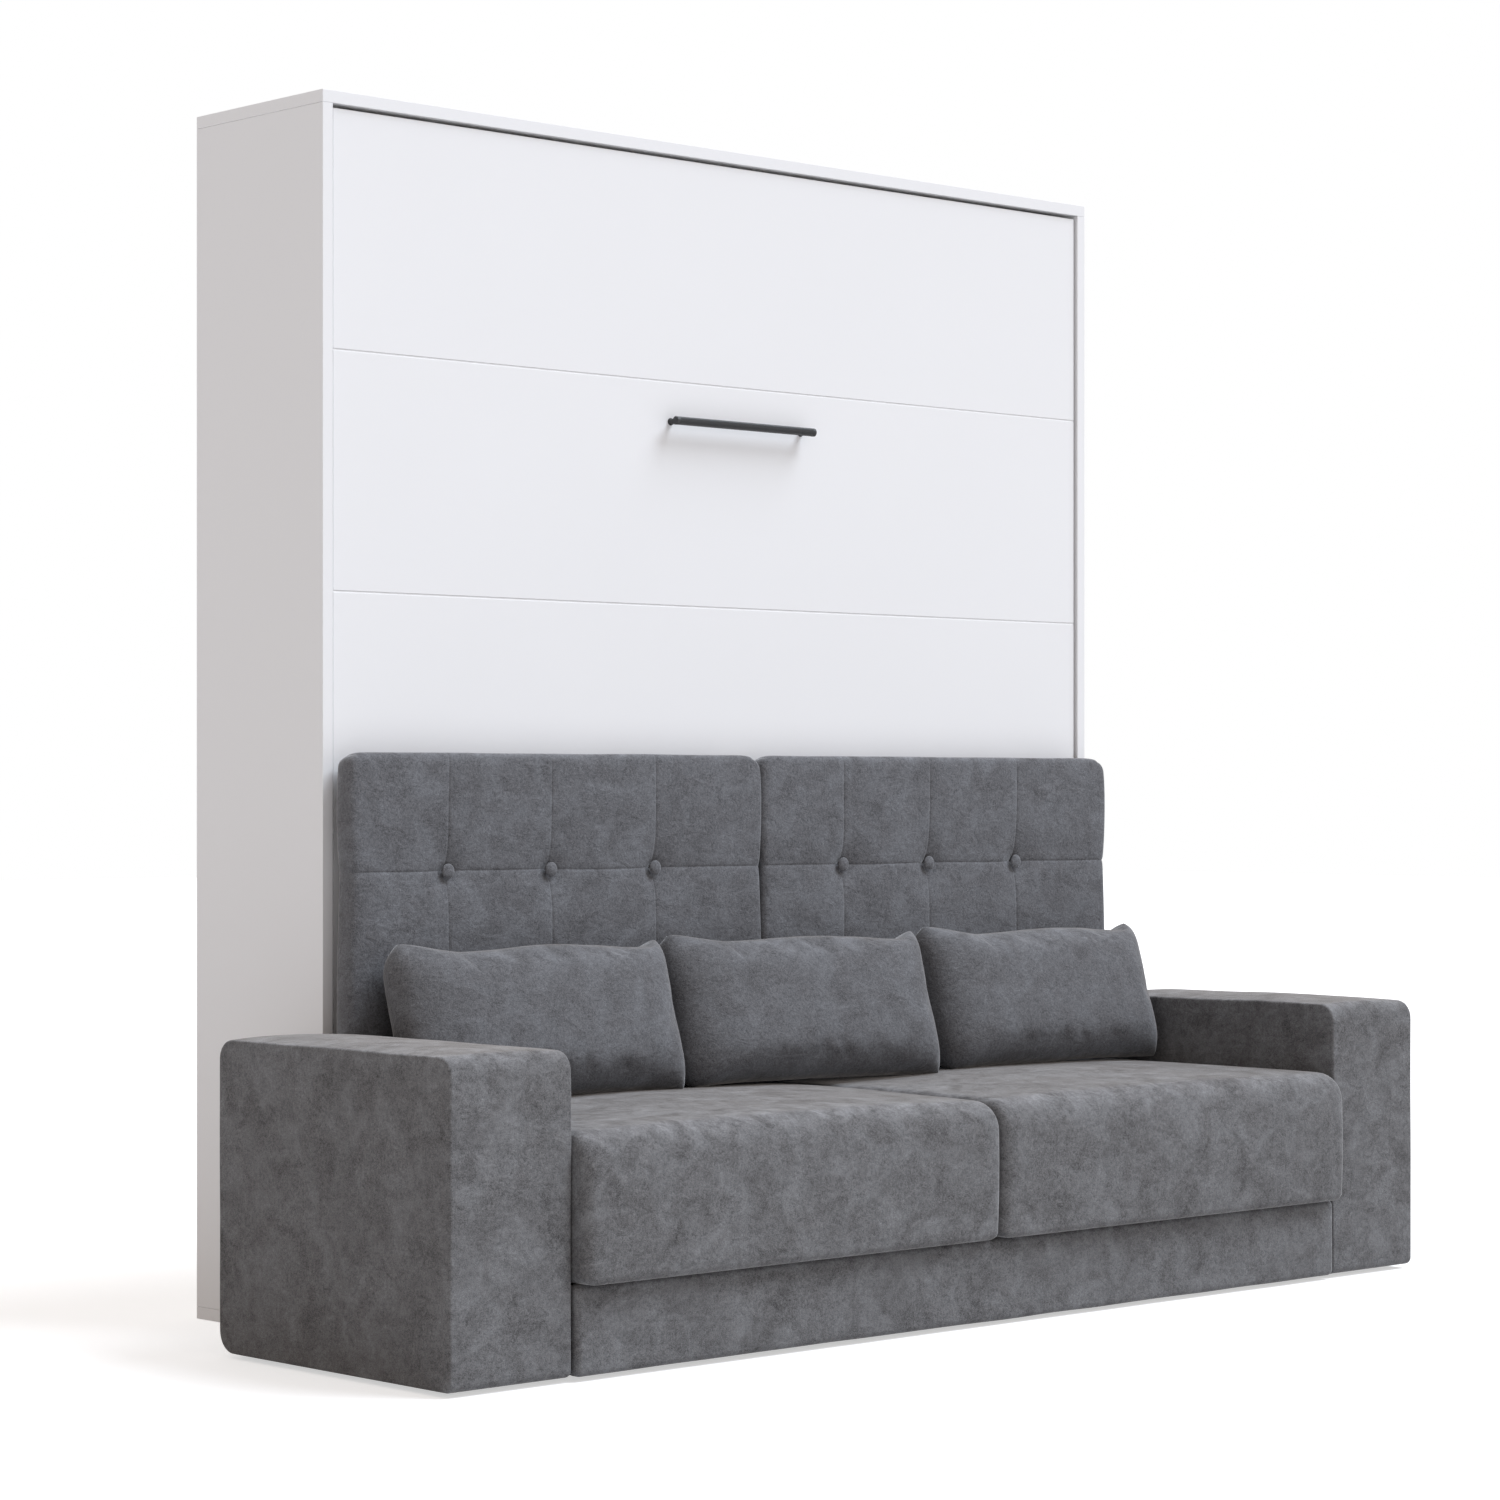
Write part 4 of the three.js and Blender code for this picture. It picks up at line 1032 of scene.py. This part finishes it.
pillow_master, pillow_pattern = pillow_cover()
pillow_master = filled("pillow_cover", pillow_master, pillow_pattern, COVER_PRESSURE,
                       COVER_FRAMES, COVER_STIFFNESS, COVER_CAP)
spans = [max(vert.co[axis] for vert in pillow_master.verts)
         - min(vert.co[axis] for vert in pillow_master.verts) for axis in range(3)]
print("stuffed pillow:", [round(span / MM) for span in spans], "mm")

# %% [markdown]
# The pillows were put down by hand, so each stands and turns a little differently. A place is
# given as millimetres to the right and back, from the middle of its solid, and degrees of turn
# that bring the right end forward.

# %% Place the pillows
PILLOW_SINK = 1 * MM
PILLOW_PLACES = {"left": (21, -9, 1.3), "middle": (-2, -24, 5.5), "right": (15, -8, 0.7)}


def place_pillow(word, seed):
    """Leans and turns a copy, puts it near its solid and sinks it a little into the seat."""
    low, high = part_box(f"pillow_{word}")
    bm = pillow_master.copy()
    for vert in bm.verts:
        vert.co += stuffing(vert.co, 150 * MM, 2.5 * MM, seed)
    aside, back, turn = PILLOW_PLACES[word]
    leaning = Matrix.Rotation(-PILLOW_LEAN, 3, "X")
    turned = Matrix.Rotation(-math.radians(turn), 3, "Z")
    bmesh.ops.rotate(bm, cent=(0, 0, 0), matrix=turned @ leaning, verts=bm.verts)
    foot = min(vert.co.z for vert in bm.verts)
    middle = (low + high) / 2 + Vector((aside, back, 0)) * MM
    bmesh.ops.translate(bm, vec=(middle.x, middle.y, low.z - PILLOW_SINK - foot), verts=bm.verts)
    top = max(vert.co.z for vert in bm.verts)
    pillow = finish_piece(f"pillow_{word}_stuffed", bm, pillow_velour, f"pillow_{word}",
                          [f"pillow_{word}"])
    smooth_out(pillow, 1)
    return top


for seed, word in enumerate(("left", "middle", "right")):
    print("pillow", word, "reaches", round(place_pillow(word, 41.3 + 5 * seed) / MM), "mm")
pillow_master.free()

# %% [markdown]
# ## Mattress
# The mattress is a foam block in quilted ticking with rounded edges. It shows from behind and
# when the bed is down.

# %% Make the mattress
MATTRESS_EDGE = 22 * MM
MATTRESS_PITCH = 22.5 * MM
QUILT_PITCH = 180 * MM
QUILT_DEPTH = 5 * MM
low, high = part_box("mattress")
mattress = cut_box(low, high, [
    edge_lines(low[axis], high[axis], (MATTRESS_EDGE,), (MATTRESS_EDGE,), MATTRESS_PITCH)
    for axis in range(3)
])
mattress_radii = Vector((MATTRESS_EDGE, MATTRESS_EDGE, MATTRESS_EDGE))
for vert in mattress.verts:
    moved = rounded(vert.co, low, high, mattress_radii, mattress_radii)
    slant = abs(math.sin(math.pi * (moved.x + moved.z) / QUILT_PITCH)
                * math.sin(math.pi * (moved.x - moved.z) / QUILT_PITCH))
    faces_out = 2 * abs(moved.y - (low.y + high.y) / 2) / (high.y - low.y)
    inward = 1 if moved.y < (low.y + high.y) / 2 else -1
    moved.y += inward * QUILT_DEPTH * (1 - slant ** 0.5) * faces_out ** 8
    vert.co = moved
mattress_piece = finish_piece("mattress_quilted", mattress, ticking, "bed",
                              ["mattress"])
smooth_out(mattress_piece, 1)
print("mattress:", len(mattress_piece.data.polygons), "faces")

# %% [markdown]
# ## Floor and light
# A plain pale floor takes the shadow. The Light Path node tells rays apart: those that come from
# the camera, a reflection or a clear body see floor and background brighter, and the rays that
# light the object don't. One very soft, slightly cool lamp shines from the front, right and
# above, and a slightly warm world fills the shadows. A Sun lamp lights the tall front evenly from
# top to bottom, which a near lamp doesn't.

# %% Floor and world
FLOOR_GLOW = 0.55
WORLD_FILL = 0.5
WORLD_COLOUR = (1.065, 0.955, 0.89, 1)


def looking_rays(tree):
    """1 for a ray that looks at something, 0 for one that gathers light."""
    rays = add_node(tree, "LightPath")
    seen = maths(tree, "MAXIMUM", rays.outputs["Is Camera Ray"], rays.outputs["Is Glossy Ray"])
    return maths(tree, "MAXIMUM", seen, rays.outputs["Is Transmission Ray"])


floor_mesh = bmesh.new()
bmesh.ops.create_grid(floor_mesh, x_segments=1, y_segments=1, size=30)
floor_data = bpy.data.meshes.new("floor")
floor_mesh.to_mesh(floor_data)
floor_mesh.free()
floor = bpy.data.objects.new("floor", floor_data)
scene.collection.objects.link(floor)
floor_finish, tree, shader = new_material("pale_floor")
set_shader(tree, shader, {"Base Color": (0.7, 0.7, 0.7, 1), "Roughness": 0.9,
                          "Emission Color": (1, 1, 1, 1), "Emission Strength": 0.0}, {})
glow = maths(tree, "MULTIPLY", looking_rays(tree), FLOOR_GLOW)
tree.links.new(glow, shader.inputs["Emission Strength"])
floor_data.materials.append(floor_finish)

world = bpy.data.worlds.new("studio")
world.use_nodes = True
scene.world = world
sky = world.node_tree
background = sky.nodes["Background"]
seen = looking_rays(sky)
level = add_node(sky, "MapRange", {0: seen, 1: 0.0, 2: 1.0, 3: WORLD_FILL, 4: 1.0}).outputs[0]
warm = mix_colours(sky, seen, WORLD_COLOUR, (1, 1, 1, 1))
sky.links.new(level, background.inputs["Strength"])
sky.links.new(warm, background.inputs["Color"])
print("world fill:", WORLD_FILL)

# %% Lamp
KEY_DIRECTION = Vector((-0.43, 0.40, -0.81))
KEY_STRENGTH = 2.68
KEY_ANGLE = math.radians(35)
KEY_COLOUR = (0.935, 1.018, 1.13)
key_data = bpy.data.lights.new("key_lamp", "SUN")
key_data.energy = KEY_STRENGTH
key_data.angle = KEY_ANGLE
key_data.color = KEY_COLOUR
key_lamp = bpy.data.objects.new("key_lamp", key_data)
key_lamp.rotation_euler = KEY_DIRECTION.to_track_quat("-Z", "Y").to_euler()
scene.collection.objects.link(key_lamp)
print("key lamp:", key_lamp.data.energy, "W/m2")
